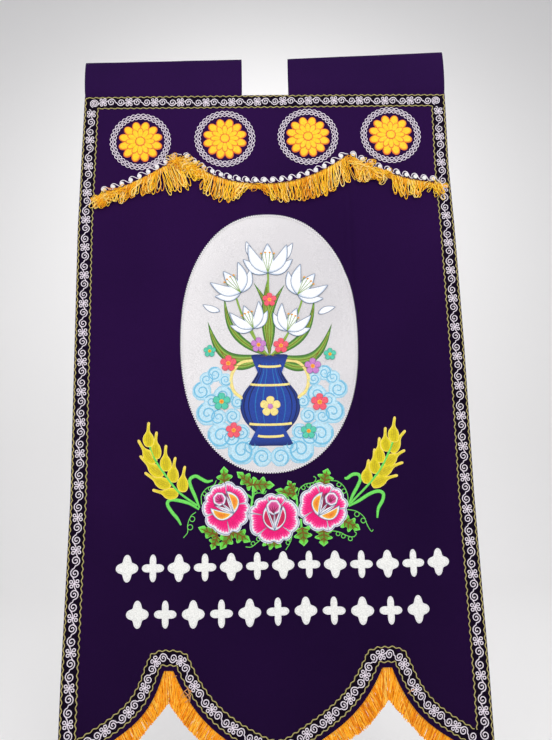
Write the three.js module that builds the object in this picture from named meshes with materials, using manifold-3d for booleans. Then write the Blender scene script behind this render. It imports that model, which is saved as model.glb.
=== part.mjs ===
import * as THREE from "three";
import { mergeVertices } from "three/addons/utils/BufferGeometryUtils.js";
import Module from "manifold-3d";

// A hanging church banner: one purple cloth with two pole sleeves, a white oval panel, looped and
// cut fringe, and sewn-on ornaments. Millimetres, +Z up, the front looks along -Y.
// The origin is midway between the sleeves, level with their top folds.

const wasm = await Module();
wasm.setup();

// Driving dimensions

const cloth = { width: 800, thick: 2, topEdge: -92, lowest: -1456 };
const grid = { columns: 32, rows: 14, reach: 415, above: 4 };
const seamGap = 0.3; // what two sewn layers keep between them
const prismDepth = 120;

// Side edges of the cloth, z down from its top edge.
const sideRows = [
  { z: 0, left: -400.5, right: 398.5 },
  { z: -175, left: -403, right: 395.5 },
  { z: -310, left: -404.5, right: 398.5 },
  { z: -570, left: -401, right: 400.5 },
  { z: -870, left: -397, right: 398.5 },
  { z: -1200, left: -401, right: 402.5 },
];

// Scalloped hem: two flat-topped notches, from which the edge falls to the rounded lobes.
const hem = {
  notches: [-203, 207],
  flatHalf: 9,
  notchZ: -1188,
  slope: 0.5,
  lobeHalf: 194,
  roundOver: 40,
};
// The flanks of the notches from left to right: where each ends, its notch, and how far and how
// fast the edge drops beside it.
const flanks = [
  { upTo: -203, notch: -203, drop: 74, reach: 26 },
  { upTo: 2, notch: -203, drop: 76, reach: 48 },
  { upTo: 207, notch: 207, drop: 76, reach: 50 },
  { upTo: 420, notch: 207, drop: 82, reach: 36 },
];
const hemSteps = [0, 7, 16, 28, 44, 66, 94, 126, 154, 176, 194];

// Soft folds of the hung cloth: ridges (positive rise) and troughs, with the lean of their line.
const folds = [
  { at: 168, lean: 0.0, width: 26, rise: 5.5, top: -120, bottom: -900 },
  { at: 205, lean: 0.02, width: 30, rise: -3, top: -180, bottom: -760 },
  { at: -40, lean: 0.62, width: 34, rise: 3.5, top: -250, bottom: -560 },
  { at: -262, lean: -0.05, width: 60, rise: 4, top: -330, bottom: -1150 },
  { at: 300, lean: 0.04, width: 55, rise: 3.5, top: -520, bottom: -1260 },
  { at: -90, lean: 0.1, width: 70, rise: -3, top: -860, bottom: -1300 },
];
const foldFade = 150;
const hemSway = { height: 7, waves: 2.6, phase: 0.7, power: 1.6 };

// Pole sleeves: heights of their top fold above the cloth's top edge, at the outer and inner ends.
const sleeves = [
  { name: "sleeve_left", from: -401, to: -54, fromTop: 84.5, toTop: 90.5 },
  { name: "sleeve_right", from: 49.5, to: 399, fromTop: 91, toTop: 105 },
];
const sleeve = { tail: 16, wall: 1.5, height: 92, seamLap: 10, steps: 4 };
// Half section of an empty sleeve: share of its height, front bulge and back bulge.
const sleeveRows = [
  { up: 0.04, front: 0, back: 0 },
  { up: 0.16, front: 3.6, back: 4.2 },
  { up: 0.4, front: 6.6, back: 7.4 },
  { up: 0.66, front: 7.2, back: 8.0 },
  { up: 0.86, front: 5.6, back: 6.4 },
  { up: 0.96, front: 3, back: 3.4 },
];

const oval = { x: -3, z: -554.5, halfWidth: 182.5, halfHeight: 272.5, fullness: 2.2, points: 36 };
const ovalThick = 1.2;

// Swags of the looped fringe, each half from its cusp to its lowest point.
const swags = [
  { cusp: -187, end: -402, cuspZ: -135, drop: 95, power: 1.6 },
  { cusp: -187, end: -7, cuspZ: -135, drop: 68, power: 2.4 },
  { cusp: 176, end: -7, cuspZ: -138, drop: 65, power: 2.1 },
  { cusp: 176, end: 402, cuspZ: -138, drop: 68, power: 2.1 },
];
const valanceNodes = [
  { name: "valance_fringe_left", from: -380, to: -189, loops: 10 },
  { name: "valance_fringe_centre", from: -185, to: 174, loops: 20 },
  { name: "valance_fringe_right", from: 178, to: 394, loops: 11 },
];
const valance = {
  headingTop: -11,
  headingDeep: 9,
  headingThick: 2.2,
  loopLong: 34,
  loopUneven: 7,
  loopWide: 13,
  yarn: 1.05,
  layer: 2.6,
  endInset: 2.5,
  rootInset: 2,
  uprightNear: 45,
  slopeReach: 4,
  slopeLean: 0.35,
  unevenLean: 0.1,
  leanMost: 0.3,
  headingParts: 12,
  bends: 6,
};
// A loop from root to root: share of its half width, share of its length, how far it starts up
// inside the heading.
const loopRows = [
  { side: -0.45, share: 0, rooted: 3 },
  { side: -0.7, share: 0.4, rooted: 0 },
  { side: -0.95, share: 0.8, rooted: 0 },
  { side: 0, share: 1, rooted: 0 },
  { side: 0.95, share: 0.8, rooted: 0 },
  { side: 0.7, share: 0.4, rooted: 0 },
  { side: 0.45, share: 0, rooted: 3 },
];

const hemFringeNodes = [
  { name: "hem_fringe_left", from: -400, to: -203.5 },
  { name: "hem_fringe_centre", from: -202.5, to: 206.5 },
  { name: "hem_fringe_right", from: 207.5, to: 401 },
];
const hemFringe = {
  stripDeep: 11,
  stripBelow: 1.5,
  stripThick: 3.4,
  pitch: 7.4,
  step: 0.5,
  endInset: 3,
  rootUp: 4,
  shortest: 12,
  deep: 32, // below the edge
  deeper: 8, // added beside a notch
  deeperReach: 70,
  veeDrop: 52,
  veeSlope: 1.15,
  veeReach: 60,
  uneven: 3,
  lock: 1.6,
  layer: 3.9,
  lean: 0.45,
  leanReach: 30,
  fade: 60,
};

const medallions = [
  { x: -276, z: -110 },
  { x: -92, z: -105 },
  { x: 90, z: -102 },
  { x: 272, z: -100 },
];
const medallion = {
  outer: 66,
  band: 13,
  ringThick: 1.4,
  ringSegments: 10,
  rosette: 47,
  petals: 12,
  scallop: 0.07,
  petalPoints: 3,
  thick: 1.4,
};

const roses = [
  { name: "rose_left", x: -93, z: -892, wide: 93, tall: 102, turn: 0.2 },
  { name: "rose_centre", x: 0, z: -914, wide: 102, tall: 96, turn: 0.7 },
  { name: "rose_right", x: 97, z: -894, wide: 98, tall: 94, turn: 1.1 },
];
const rose = { lobes: 6, scallop: 0.05, points: 30, thick: 1.6 };

// Wheat ears: the root and the tip of each grain, and the line of the stem.
const wheats = [
  {
    name: "wheat_left",
    grains: [
      { x: -245, z: -770, tipX: -247, tipZ: -721 },
      { x: -231, z: -794, tipX: -231, tipZ: -740 },
      { x: -210, z: -818, tipX: -212, tipZ: -767 },
      { x: -197, z: -840, tipX: -193, tipZ: -791 },
      { x: -178, z: -859, tipX: -174, tipZ: -809 },
      { x: -233, z: -802, tipX: -268, tipZ: -756 },
      { x: -217, z: -827, tipX: -264, tipZ: -787 },
      { x: -202, z: -848, tipX: -254, tipZ: -820 },
      { x: -187, z: -863, tipX: -238, tipZ: -854 },
    ],
    stem: [
      { x: -244, z: -768 },
      { x: -232, z: -798 },
      { x: -214, z: -824 },
      { x: -187, z: -858 },
      { x: -149, z: -886 },
    ],
  },
  {
    name: "wheat_right",
    grains: [
      { x: 243, z: -770, tipX: 247, tipZ: -719 },
      { x: 228, z: -788, tipX: 227, tipZ: -740 },
      { x: 213, z: -810, tipX: 214, tipZ: -760 },
      { x: 203, z: -831, tipX: 203, tipZ: -782 },
      { x: 185, z: -850, tipX: 190, tipZ: -803 },
      { x: 236, z: -790, tipX: 267, tipZ: -747 },
      { x: 222, z: -815, tipX: 264, tipZ: -786 },
      { x: 207, z: -834, tipX: 259, tipZ: -810 },
      { x: 194, z: -853, tipX: 247, tipZ: -835 },
    ],
    stem: [
      { x: 240, z: -768 },
      { x: 228, z: -796 },
      { x: 214, z: -820 },
      { x: 192, z: -847 },
      { x: 150, z: -888 },
    ],
  },
];
const wheat = { grainWide: 20, stem: 5, thick: 1.4 };
// A plump grain with a narrow tip: shares of its length and of its half width.
const grainRows = [
  { up: -0.12, half: 0.22 },
  { up: 0.1, half: 0.78 },
  { up: 0.26, half: 1 },
  { up: 0.45, half: 0.8 },
  { up: 0.62, half: 0.3 },
  { up: 0.98, half: 0.2 },
];

const upperRow = { name: "applique_upper", count: 13, from: -285, to: 318, z: -1002 };
const lowerRow = { name: "applique_lower", count: 11, from: -264, to: 273, z: -1087 };
const applique = { wide: 42, tall: 50, cloverPoints: 16, starPoints: 8, thick: 1.6 };

// Materials

function fabric(colour, roughness) {
  return new THREE.MeshStandardMaterial({ color: colour, roughness, metalness: 0 });
}

const purpleCloth = fabric(0x2b1245, 0.85);
const sleeveCloth = fabric(0x2b1345, 0.85);
const whiteSatin = fabric(0xe6e2e1, 0.45);
const goldYarn = fabric(0xf2a92e, 0.6);
const whiteCord = fabric(0xd6cfdd, 0.55);
const yellowThread = fabric(0xf4cf21, 0.5);
const whiteThread = fabric(0xe8e8e4, 0.5);
const roseThread = fabric(0xe22a86, 0.5);
const wheatThread = fabric(0xe0d233, 0.5);

// Solids and meshes

function solidOf(geometry) {
  const bare = geometry.clone();
  for (const name of ["normal", "uv"]) bare.deleteAttribute(name);
  const merged = mergeVertices(bare, 1e-4);
  return new wasm.Manifold(
    new wasm.Mesh({
      numProp: 3,
      vertProperties: merged.attributes.position.array,
      triVerts: new Uint32Array(merged.index.array),
    }),
  );
}

function meshOf(solid, name, material) {
  const made = solid.getMesh();
  const geometry = new THREE.BufferGeometry();
  geometry.setAttribute("position", new THREE.BufferAttribute(made.vertProperties, 3));
  geometry.setIndex(new THREE.BufferAttribute(made.triVerts, 1));
  geometry.computeVertexNormals();
  const mesh = new THREE.Mesh(geometry, material);
  mesh.name = name;
  return mesh;
}

// A closed outline through points of { x, z }.
const outlineOf = (points) => new THREE.Shape(points.map((p) => new THREE.Vector2(p.x, p.z)));

// An outline in the banner's plane, drawn through the whole depth of the cloth.
function prismOf(shape, segments = 8) {
  const made = new THREE.ExtrudeGeometry(shape, {
    depth: prismDepth,
    bevelEnabled: false,
    curveSegments: segments,
  });
  made.rotateX(Math.PI / 2).translate(0, prismDepth / 2, cloth.topEdge);
  return solidOf(made);
}

// The folds of the cloth

function smooth(t) {
  const held = Math.min(1, Math.max(0, t));
  return held * held * (3 - 2 * held);
}

// How far the middle of the cloth stands behind the banner's plane; z counts from its top edge.
function foldAt(x, z) {
  let y = 0;
  for (const fold of folds) {
    const away = (x - fold.at - fold.lean * (z - fold.top)) / fold.width;
    const fade = smooth((fold.top - z) / foldFade) * smooth((z - fold.bottom) / foldFade);
    y -= fold.rise * Math.exp(-away * away) * fade;
  }
  const down = Math.max(0, z / hem.notchZ);
  const turn = (2 * Math.PI * hemSway.waves * x) / cloth.width + hemSway.phase;
  return y + hemSway.height * down ** hemSway.power * Math.sin(turn);
}

const columnX = (i) => -grid.reach + (2 * grid.reach * i) / grid.columns;
const rowZ = (j) => ((cloth.lowest - cloth.topEdge) * j) / grid.rows + grid.above;

// The same height read off the flat faces between the grid's points.
function clothAt(x, z) {
  const u = ((x + grid.reach) * grid.columns) / (2 * grid.reach);
  const v = ((z - grid.above) * grid.rows) / (cloth.lowest - cloth.topEdge);
  const i = Math.min(grid.columns - 1, Math.max(0, Math.floor(u)));
  const j = Math.min(grid.rows - 1, Math.max(0, Math.floor(v)));
  const across = u - i;
  const down = v - j;
  const near = foldAt(columnX(i), rowZ(j));
  const far = foldAt(columnX(i + 1), rowZ(j + 1));
  if (across > down) {
    const corner = foldAt(columnX(i + 1), rowZ(j));
    return near + (corner - near) * across + (far - corner) * down;
  }
  const corner = foldAt(columnX(i), rowZ(j + 1));
  return near + (corner - near) * down + (far - corner) * across;
}

// A folded sheet between two depths in front of or behind the middle of the cloth.
function layer(front, back) {
  const points = [];
  const faces = [];
  const rowLength = grid.columns + 1;
  const layerLength = rowLength * (grid.rows + 1);
  for (const depth of [front, back])
    for (let j = 0; j <= grid.rows; j++)
      for (let i = 0; i <= grid.columns; i++)
        points.push(columnX(i), foldAt(columnX(i), rowZ(j)) + depth, rowZ(j) + cloth.topEdge);
  const quad = (a, b, c, d) => faces.push(a, b, c, a, c, d);
  for (let j = 0; j < grid.rows; j++)
    for (let i = 0; i < grid.columns; i++) {
      const a = j * rowLength + i;
      const below = a + rowLength;
      quad(a, below, below + 1, a + 1);
      const [p, q] = [a + layerLength, below + layerLength];
      faces.push(p, q + 1, q, p, p + 1, q + 1);
    }
  const rim = [];
  for (let i = 0; i < grid.columns; i++) rim.push(i);
  for (let j = 0; j < grid.rows; j++) rim.push(j * rowLength + grid.columns);
  for (let i = grid.columns; i > 0; i--) rim.push(grid.rows * rowLength + i);
  for (let j = grid.rows; j > 0; j--) rim.push(j * rowLength);
  rim.forEach((a, k) => {
    const b = rim[(k + 1) % rim.length];
    quad(a, b, b + layerLength, a + layerLength);
  });
  const geometry = new THREE.BufferGeometry();
  geometry.setAttribute("position", new THREE.Float32BufferAttribute(points, 3));
  geometry.setIndex(faces);
  const made = solidOf(geometry);
  if (made.volume() < 0) throw new Error("the folded sheet faces inwards");
  return made;
}

const face = -cloth.thick / 2;
const frontLayer = (thick) => layer(face - seamGap - thick, face - seamGap);
const backLayer = (thick) => layer(-face + seamGap, -face + seamGap + thick);

// The cloth

function rowValue(rows, z, column) {
  const k = rows.findIndex((row) => row.z < z);
  if (k < 1) return (k ? rows.at(-1) : rows[0])[column];
  const [a, b] = [rows[k - 1], rows[k]];
  return a[column] + ((b[column] - a[column]) * (z - a.z)) / (b.z - a.z);
}

const flankAt = (x) => flanks.find((row) => x <= row.upTo);

function hemZ(x) {
  const { notch, drop, reach } = flankAt(x);
  const away = Math.max(0, Math.min(Math.abs(x - notch) - hem.flatHalf, hem.lobeHalf));
  const past = Math.max(0, away - (hem.lobeHalf - hem.roundOver));
  const rise = (hem.slope * past * past) / (2 * hem.roundOver);
  return hem.notchZ - drop * (1 - Math.exp(-away / reach)) - hem.slope * away + rise;
}

// x places along the hem, closer together beside the notches, between two ends.
function hemPlaces(from, to) {
  const places = [from, to];
  for (const notch of hem.notches)
    for (const side of [-1, 1])
      for (const step of hemSteps) places.push(notch + side * (hem.flatHalf + step));
  const kept = places.filter((x) => x >= from && x <= to).sort((a, b) => a - b);
  return kept.filter((x, k) => k === 0 || x - kept[k - 1] > 1);
}

function clothShape() {
  const left = rowValue(sideRows, hem.notchZ, "left");
  const right = rowValue(sideRows, hem.notchZ, "right");
  const shape = new THREE.Shape();
  shape.moveTo(sideRows[0].left, 0);
  sideRows.slice(1).forEach((row) => shape.lineTo(row.left, row.z));
  hemPlaces(left, right).forEach((x) => shape.lineTo(x, hemZ(x)));
  [...sideRows].reverse().forEach((row) => shape.lineTo(row.right, row.z));
  return shape;
}

// Pole sleeves: a strip folded over, both ends caught behind the cloth's top edge.

function sleeveMesh(row) {
  const lift = (part) => sleeve.height * part.up;
  const middle = -face + seamGap + sleeve.wall;
  const tail = sleeve.wall;
  const outer = new THREE.Shape();
  outer.moveTo(middle - tail, -sleeve.tail);
  for (const part of sleeveRows) outer.lineTo(middle - tail - part.front, lift(part));
  outer.lineTo(middle, sleeve.height);
  for (const part of [...sleeveRows].reverse())
    outer.lineTo(middle + tail + part.back, lift(part));
  outer.lineTo(middle + tail, -sleeve.tail);
  const hollow = new THREE.Path();
  const inner = sleeveRows.slice(1);
  hollow.moveTo(middle, sleeve.seamLap);
  for (const part of inner) hollow.lineTo(middle + part.back, lift(part));
  for (const part of [...inner].reverse()) hollow.lineTo(middle - part.front, lift(part));
  outer.holes.push(hollow);
  const long = row.to - row.from;
  const geometry = new THREE.ExtrudeGeometry(outer, {
    depth: long,
    steps: sleeve.steps,
    bevelEnabled: false,
  });
  const place = geometry.attributes.position;
  for (let k = 0; k < place.count; k++) {
    const [y, z, along] = [place.getX(k), place.getY(k), place.getZ(k)];
    const top = row.fromTop + ((row.toTop - row.fromTop) * along) / long;
    const raised = z > 0 ? (z * top) / sleeve.height : z;
    place.setXYZ(k, row.from + along, y, cloth.topEdge + raised);
  }
  return meshOf(solidOf(geometry), row.name, sleeveCloth);
}

// Outlines that follow a rule

function polarShape(x, z, points, reachAt) {
  const turn = (k) => reachAt((2 * Math.PI * k) / points);
  const around = Array.from({ length: points }, (_, k) => turn(k));
  return outlineOf(around.map((reach) => ({ x: x + reach.x, z: z + reach.z })));
}

function ovalReach(angle) {
  const power = 2 / oval.fullness;
  const [c, s] = [Math.cos(angle), Math.sin(angle)];
  return {
    x: oval.halfWidth * Math.sign(c) * Math.abs(c) ** power,
    z: oval.halfHeight * Math.sign(s) * Math.abs(s) ** power,
  };
}

function cloverReach(angle) {
  const swell = 0.8 + 0.2 * Math.cos(4 * angle);
  return {
    x: (applique.wide / 2) * swell * Math.cos(angle),
    z: (applique.tall / 2) * swell * Math.sin(angle),
  };
}

function starReach(angle) {
  const swell = 0.7 + 0.3 * Math.cos(4 * angle);
  return {
    x: (applique.wide / 2) * swell * Math.cos(angle),
    z: (applique.tall / 2) * swell * Math.sin(angle),
  };
}

function petalReach(radius, petals, depth, wide = 1, tall = 1, turn = 0) {
  return (angle) => {
    const swell = radius * (1 - depth + depth * Math.cos(petals * (angle + turn)));
    return { x: swell * wide * Math.cos(angle), z: swell * tall * Math.sin(angle) };
  };
}

function bandShape(places, topAt, bottomAt) {
  const top = places.map((x) => ({ x, z: topAt(x) }));
  const bottom = places.map((x) => ({ x, z: bottomAt(x) }));
  return outlineOf([...top, ...bottom.reverse()]);
}

// Fringe

const strandSection = (radius) =>
  polarShape(0, 0, 3, (angle) => ({ x: radius * Math.cos(angle), z: radius * Math.sin(angle) }));

function strand(points, radius, steps) {
  const route = points.map((p) => new THREE.Vector3(p.x, p.y, p.z + cloth.topEdge));
  return solidOf(
    new THREE.ExtrudeGeometry(strandSection(radius), {
      steps,
      bevelEnabled: false,
      extrudePath: new THREE.CatmullRomCurve3(route),
    }),
  );
}

// An uneven share from -1 to 1 that is the same in every run.
const unevenAt = (k) => Math.sin(k * 2.4) * 0.6 + Math.sin(k * 5.1 + 1) * 0.4;

function swagZ(x) {
  const swag = swags.find((s) => (x - s.cusp) * (x - s.end) <= 0);
  const share = Math.abs((x - swag.cusp) / (swag.end - swag.cusp));
  return swag.cuspZ - swag.drop * (1 - (1 - share) ** swag.power);
}

function valanceMesh(row) {
  const parts = valance.headingParts;
  const along = (share) => row.from + (row.to - row.from) * share;
  const places = Array.from({ length: parts + 1 }, (_, k) => along(k / parts));
  const top = (x) => swagZ(x) + valance.headingTop;
  const bottom = (x) => top(x) - valance.headingDeep;
  let trim = frontLayer(valance.headingThick).intersect(prismOf(bandShape(places, top, bottom)));
  const pitch = (row.to - row.from - 2 * valance.endInset) / row.loops;
  const first = face - seamGap - valance.headingThick / 2;
  const half = valance.loopWide / 2;
  const { slopeReach, leanMost, rootInset } = valance;
  for (let k = 0; k < row.loops; k++) {
    const x = row.from + valance.endInset + pitch * (k + 0.5);
    const depth = k % 2 ? first - valance.layer : first;
    const long = valance.loopLong + valance.loopUneven * unevenAt(k + row.loops);
    const slope = (swagZ(x + slopeReach) - swagZ(x - slopeReach)) / (2 * slopeReach);
    const upright = smooth(Math.min(x - row.from, row.to - x) / valance.uprightNear);
    const wish = valance.slopeLean * slope + valance.unevenLean * unevenAt(k * 3);
    const lean = upright * THREE.MathUtils.clamp(wish, -leanMost, leanMost);
    const route = loopRows.map((spot) => {
      const across = spot.side * half;
      const down = spot.share * long - spot.rooted;
      const rootX = THREE.MathUtils.clamp(x + across / 2, row.from + rootInset, row.to - rootInset);
      const [px, z] = [x + across + lean * down, bottom(rootX) - down];
      return { x: px, y: clothAt(px, z) + (spot.rooted ? first : depth), z };
    });
    trim = trim.add(strand(route, valance.yarn, valance.bends));
  }
  return meshOf(trim, row.name, goldYarn);
}

function hemFringeMesh(row) {
  const places = hemPlaces(row.from, row.to);
  const top = (x) => hemZ(x) + hemFringe.stripDeep;
  const bottom = (x) => hemZ(x) - hemFringe.stripBelow;
  let trim = backLayer(hemFringe.stripThick).intersect(prismOf(bandShape(places, top, bottom)));
  const first = -face + seamGap + hemFringe.stripThick / 2;
  const { step, endInset, pitch } = hemFringe;
  let travelled = pitch;
  let k = 0;
  for (let x = row.from + endInset; x < row.to - endInset; x += step) {
    if (travelled >= pitch) {
      trim = trim.add(lockAt(x, k, first));
      travelled = 0;
      k += 1;
    }
    travelled += Math.hypot(step, hemZ(x + step) - hemZ(x));
  }
  return meshOf(trim, row.name, goldYarn);
}

// Where the fringe ends: in a vee under each notch, and from there along the edge.
function fringeEnd(x) {
  const dx = Math.abs(x - flankAt(x).notch);
  const { deep, deeper, deeperReach } = hemFringe;
  const below = hemZ(x) - deep - deeper * (1 - smooth(dx / deeperReach));
  const vee = hem.notchZ - hemFringe.veeDrop - hemFringe.veeSlope * dx;
  return dx < hemFringe.veeReach ? Math.min(vee, below) : below;
}

// One lock of cut fringe, leaning towards its notch on the slopes.
function lockAt(x, k, first) {
  const { notch } = flankAt(x);
  const away = Math.max(0, Math.abs(x - notch) - hem.flatHalf);
  const rounded = smooth((hem.lobeHalf - away) / hemFringe.fade);
  const slanted = smooth(away / hemFringe.leanReach) * rounded;
  const lean = -Math.sign(x - notch) * hemFringe.lean * slanted;
  let long = hemFringe.shortest;
  while (hemZ(x) + hemFringe.rootUp - long > fringeEnd(x + lean * long)) long += 1;
  long += hemFringe.uneven * unevenAt(k);
  const at = (down, depth) => {
    const px = x + lean * down;
    const z = hemZ(x) + hemFringe.rootUp - down;
    return { x: px, y: clothAt(px, Math.min(z, hemZ(x))) + first + depth, z };
  };
  return strand([at(0, 0), at(long, k % 2 ? hemFringe.layer : 0)], hemFringe.lock, 1);
}

// Wheat: a stem and its grains, one solid for each ear.

function grainShape(grain) {
  const [runX, runZ] = [grain.tipX - grain.x, grain.tipZ - grain.z];
  const long = Math.hypot(runX, runZ);
  const side = (sign) =>
    grainRows.map((row) => {
      const across = (sign * row.half * wheat.grainWide) / 2 / long;
      return { x: grain.x + runX * row.up - runZ * across, z: grain.z + runZ * row.up + runX * across };
    });
  return outlineOf([...side(-1), ...side(1).reverse()]);
}

function wheatMesh(row) {
  const edge = (side) => row.stem.map((p) => ({ x: p.x + (side * wheat.stem) / 2, z: p.z }));
  const stem = prismOf(outlineOf([...edge(-1), ...edge(1).reverse()]));
  const ear = row.grains.reduce((made, grain) => made.add(prismOf(grainShape(grain))), stem);
  return meshOf(frontLayer(wheat.thick).intersect(ear), row.name, wheatThread);
}

// Assembly

const banner = new THREE.Group();
const place = (mesh) => banner.add(mesh);
const sewOn = (shape, thick, name, material, segments) =>
  place(meshOf(frontLayer(thick).intersect(prismOf(shape, segments)), name, material));

place(meshOf(layer(face, -face).intersect(prismOf(clothShape())), "banner_cloth", purpleCloth));
sleeves.forEach((row) => place(sleeveMesh(row)));
sewOn(polarShape(oval.x, oval.z, oval.points, ovalReach), ovalThick, "oval_panel", whiteSatin);
valanceNodes.forEach((row) => place(valanceMesh(row)));
hemFringeNodes.forEach((row) => place(hemFringeMesh(row)));

medallions.forEach((spot, k) => {
  const ring = new THREE.Shape().absarc(spot.x, spot.z, medallion.outer, 0, 2 * Math.PI);
  const inside = medallion.outer - medallion.band;
  ring.holes.push(new THREE.Path().absarc(spot.x, spot.z, inside, 0, 2 * Math.PI, true));
  sewOn(ring, medallion.ringThick, `medallion_ring_${k + 1}`, whiteCord, medallion.ringSegments);
  const reach = petalReach(medallion.rosette, medallion.petals, medallion.scallop);
  const points = medallion.petalPoints * medallion.petals;
  const rosette = polarShape(spot.x, spot.z, points, reach);
  sewOn(rosette, medallion.thick, `medallion_rosette_${k + 1}`, yellowThread);
});

roses.forEach((row) => {
  const reach = petalReach(1, rose.lobes, rose.scallop, row.wide / 2, row.tall / 2, row.turn);
  sewOn(polarShape(row.x, row.z, rose.points, reach), rose.thick, row.name, roseThread);
});
wheats.forEach((row) => place(wheatMesh(row)));

for (const row of [upperRow, lowerRow])
  for (let k = 0; k < row.count; k++) {
    const x = row.from + ((row.to - row.from) * k) / (row.count - 1);
    const shape =
      k % 2
        ? polarShape(x, row.z, applique.starPoints, starReach)
        : polarShape(x, row.z, applique.cloverPoints, cloverReach);
    const name = `${row.name}_${String(k + 1).padStart(2, "0")}`;
    sewOn(shape, applique.thick, name, whiteThread);
  }

export default banner;
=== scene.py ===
# Church banner: hung purple cloth with pole sleeves, embroidery, a white satin oval and gold fringe.
import math
import random

import bpy
import numpy as np
from mathutils import Matrix, Vector


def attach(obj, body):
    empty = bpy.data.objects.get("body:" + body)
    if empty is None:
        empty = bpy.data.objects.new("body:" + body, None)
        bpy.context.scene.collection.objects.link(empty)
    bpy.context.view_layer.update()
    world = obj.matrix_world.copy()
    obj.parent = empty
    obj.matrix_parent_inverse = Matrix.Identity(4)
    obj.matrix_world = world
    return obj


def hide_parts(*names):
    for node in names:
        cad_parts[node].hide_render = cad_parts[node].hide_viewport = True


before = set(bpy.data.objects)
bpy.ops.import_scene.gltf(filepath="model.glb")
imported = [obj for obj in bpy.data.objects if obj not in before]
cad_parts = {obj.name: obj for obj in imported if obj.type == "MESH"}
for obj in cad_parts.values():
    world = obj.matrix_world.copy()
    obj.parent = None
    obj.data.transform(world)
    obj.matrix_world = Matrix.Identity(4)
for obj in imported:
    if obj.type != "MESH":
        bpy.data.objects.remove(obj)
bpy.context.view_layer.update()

mm = 0.001
scene = bpy.context.scene

# The banner's plane: x to the right and z down from the cloth's top edge, in millimetres.
cloth = {"width": 800, "thick": 2.0, "topEdge": -92}
sideRows = [
    (0, -400.5, 398.5),
    (-175, -403, 395.5),
    (-310, -404.5, 398.5),
    (-570, -401, 400.5),
    (-870, -397, 398.5),
    (-1200, -401, 402.5),
]
hem = {"notches": (-203, 207), "flatHalf": 9, "notchZ": -1188, "slope": 0.5, "lobeHalf": 194, "roundOver": 40}
# The flanks of the notches from left to right: where each ends, its notch, how far and how fast it drops.
flanks = [(-203, -203, 74, 26), (2, -203, 76, 48), (207, 207, 76, 50), (999, 207, 82, 36)]
folds = [
    {"at": 168, "lean": 0.0, "width": 26, "rise": 5.5, "top": -120, "bottom": -900},
    {"at": 205, "lean": 0.02, "width": 30, "rise": -3, "top": -180, "bottom": -760},
    {"at": -40, "lean": 0.62, "width": 34, "rise": 3.5, "top": -250, "bottom": -560},
    {"at": -262, "lean": -0.05, "width": 60, "rise": 4, "top": -330, "bottom": -1150},
    {"at": 300, "lean": 0.04, "width": 55, "rise": 3.5, "top": -520, "bottom": -1260},
    {"at": -90, "lean": 0.1, "width": 70, "rise": -3, "top": -860, "bottom": -1300},
]
foldFade = 150
hemSway = {"height": 7, "waves": 2.6, "phase": 0.7, "power": 1.6}
# Finer creases that only the scene has, in the same columns.
creases = [
    {"at": 171, "lean": 0.0, "width": 7, "rise": 1.6, "top": -150, "bottom": -870},
    {"at": 183, "lean": 0.0, "width": 9, "rise": -1.4, "top": -170, "bottom": -840},
    {"at": 158, "lean": 0.0, "width": 5, "rise": -2.2, "top": -190, "bottom": -620},
    {"at": -8, "lean": 0.62, "width": 14, "rise": 1.5, "top": -240, "bottom": -520},
    {"at": 52, "lean": 0.3, "width": 16, "rise": -1.0, "top": -290, "bottom": -600},
    {"at": -318, "lean": 0.02, "width": 18, "rise": 1.2, "top": -380, "bottom": -900},
    {"at": -150, "lean": -0.2, "width": 20, "rise": -0.9, "top": -900, "bottom": -1180},
    {"at": 262, "lean": 0.1, "width": 16, "rise": 1.1, "top": -800, "bottom": -1180},
    {"at": 8, "lean": 0.03, "width": 22, "rise": 0.9, "top": -950, "bottom": -1330},
]


def smoothStep(t):
    held = np.clip(t, 0, 1)
    return held * held * (3 - 2 * held)


def foldAt(x, z):  # how far the middle of the cloth stands behind the banner's plane
    y = np.zeros(np.broadcast(x, z).shape)
    for fold in folds + creases:
        away = (x - fold["at"] - fold["lean"] * (z - fold["top"])) / fold["width"]
        fade = smoothStep((fold["top"] - z) / foldFade) * smoothStep((z - fold["bottom"]) / foldFade)
        y = y - fold["rise"] * np.exp(-away * away) * fade
    down = np.maximum(0, z / hem["notchZ"])
    turn = 2 * math.pi * hemSway["waves"] * x / cloth["width"] + hemSway["phase"]
    return y + hemSway["height"] * down ** hemSway["power"] * np.sin(turn)


def flankAt(x):
    return next(row for row in flanks if x <= row[0])


def hemZ(x):
    notch, drop, reach = flankAt(x)[1:]
    away = min(max(0, abs(x - notch) - hem["flatHalf"]), hem["lobeHalf"])
    past = max(0, away - (hem["lobeHalf"] - hem["roundOver"]))
    steep = drop * (1 - math.exp(-away / reach))
    return hem["notchZ"] - steep - hem["slope"] * away + hem["slope"] * past * past / (2 * hem["roundOver"])


def sideX(z, left):
    rows = sideRows[::-1]
    return float(np.interp(z, [row[0] for row in rows], [row[1 if left else 2] for row in rows]))


# Materials

def linear(colour):  # sRGB 0 to 255, to the shader's linear values
    parts = [c / 255 for c in colour]
    return [*[p / 12.92 if p <= 0.04045 else ((p + 0.055) / 1.055) ** 2.4 for p in parts], 1.0]


def addNode(tree, kind, inputs=(), **settings):  # a node with its settings; each input is linked or set
    node = tree.nodes.new(kind)
    for key, value in settings.items():
        setattr(node, key, value)
    for key, value in dict(inputs).items():
        if isinstance(value, bpy.types.NodeSocket):
            tree.links.new(value, node.inputs[key])
        else:
            node.inputs[key].default_value = value
    return node


def newMaterial(name, roughness, specular):
    material = bpy.data.materials.new(name)
    material.use_nodes = True
    shader = material.node_tree.nodes["Principled BSDF"]
    shader.inputs["Roughness"].default_value = roughness
    shader.inputs["Specular IOR Level"].default_value = specular
    return material, material.node_tree, shader


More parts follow.
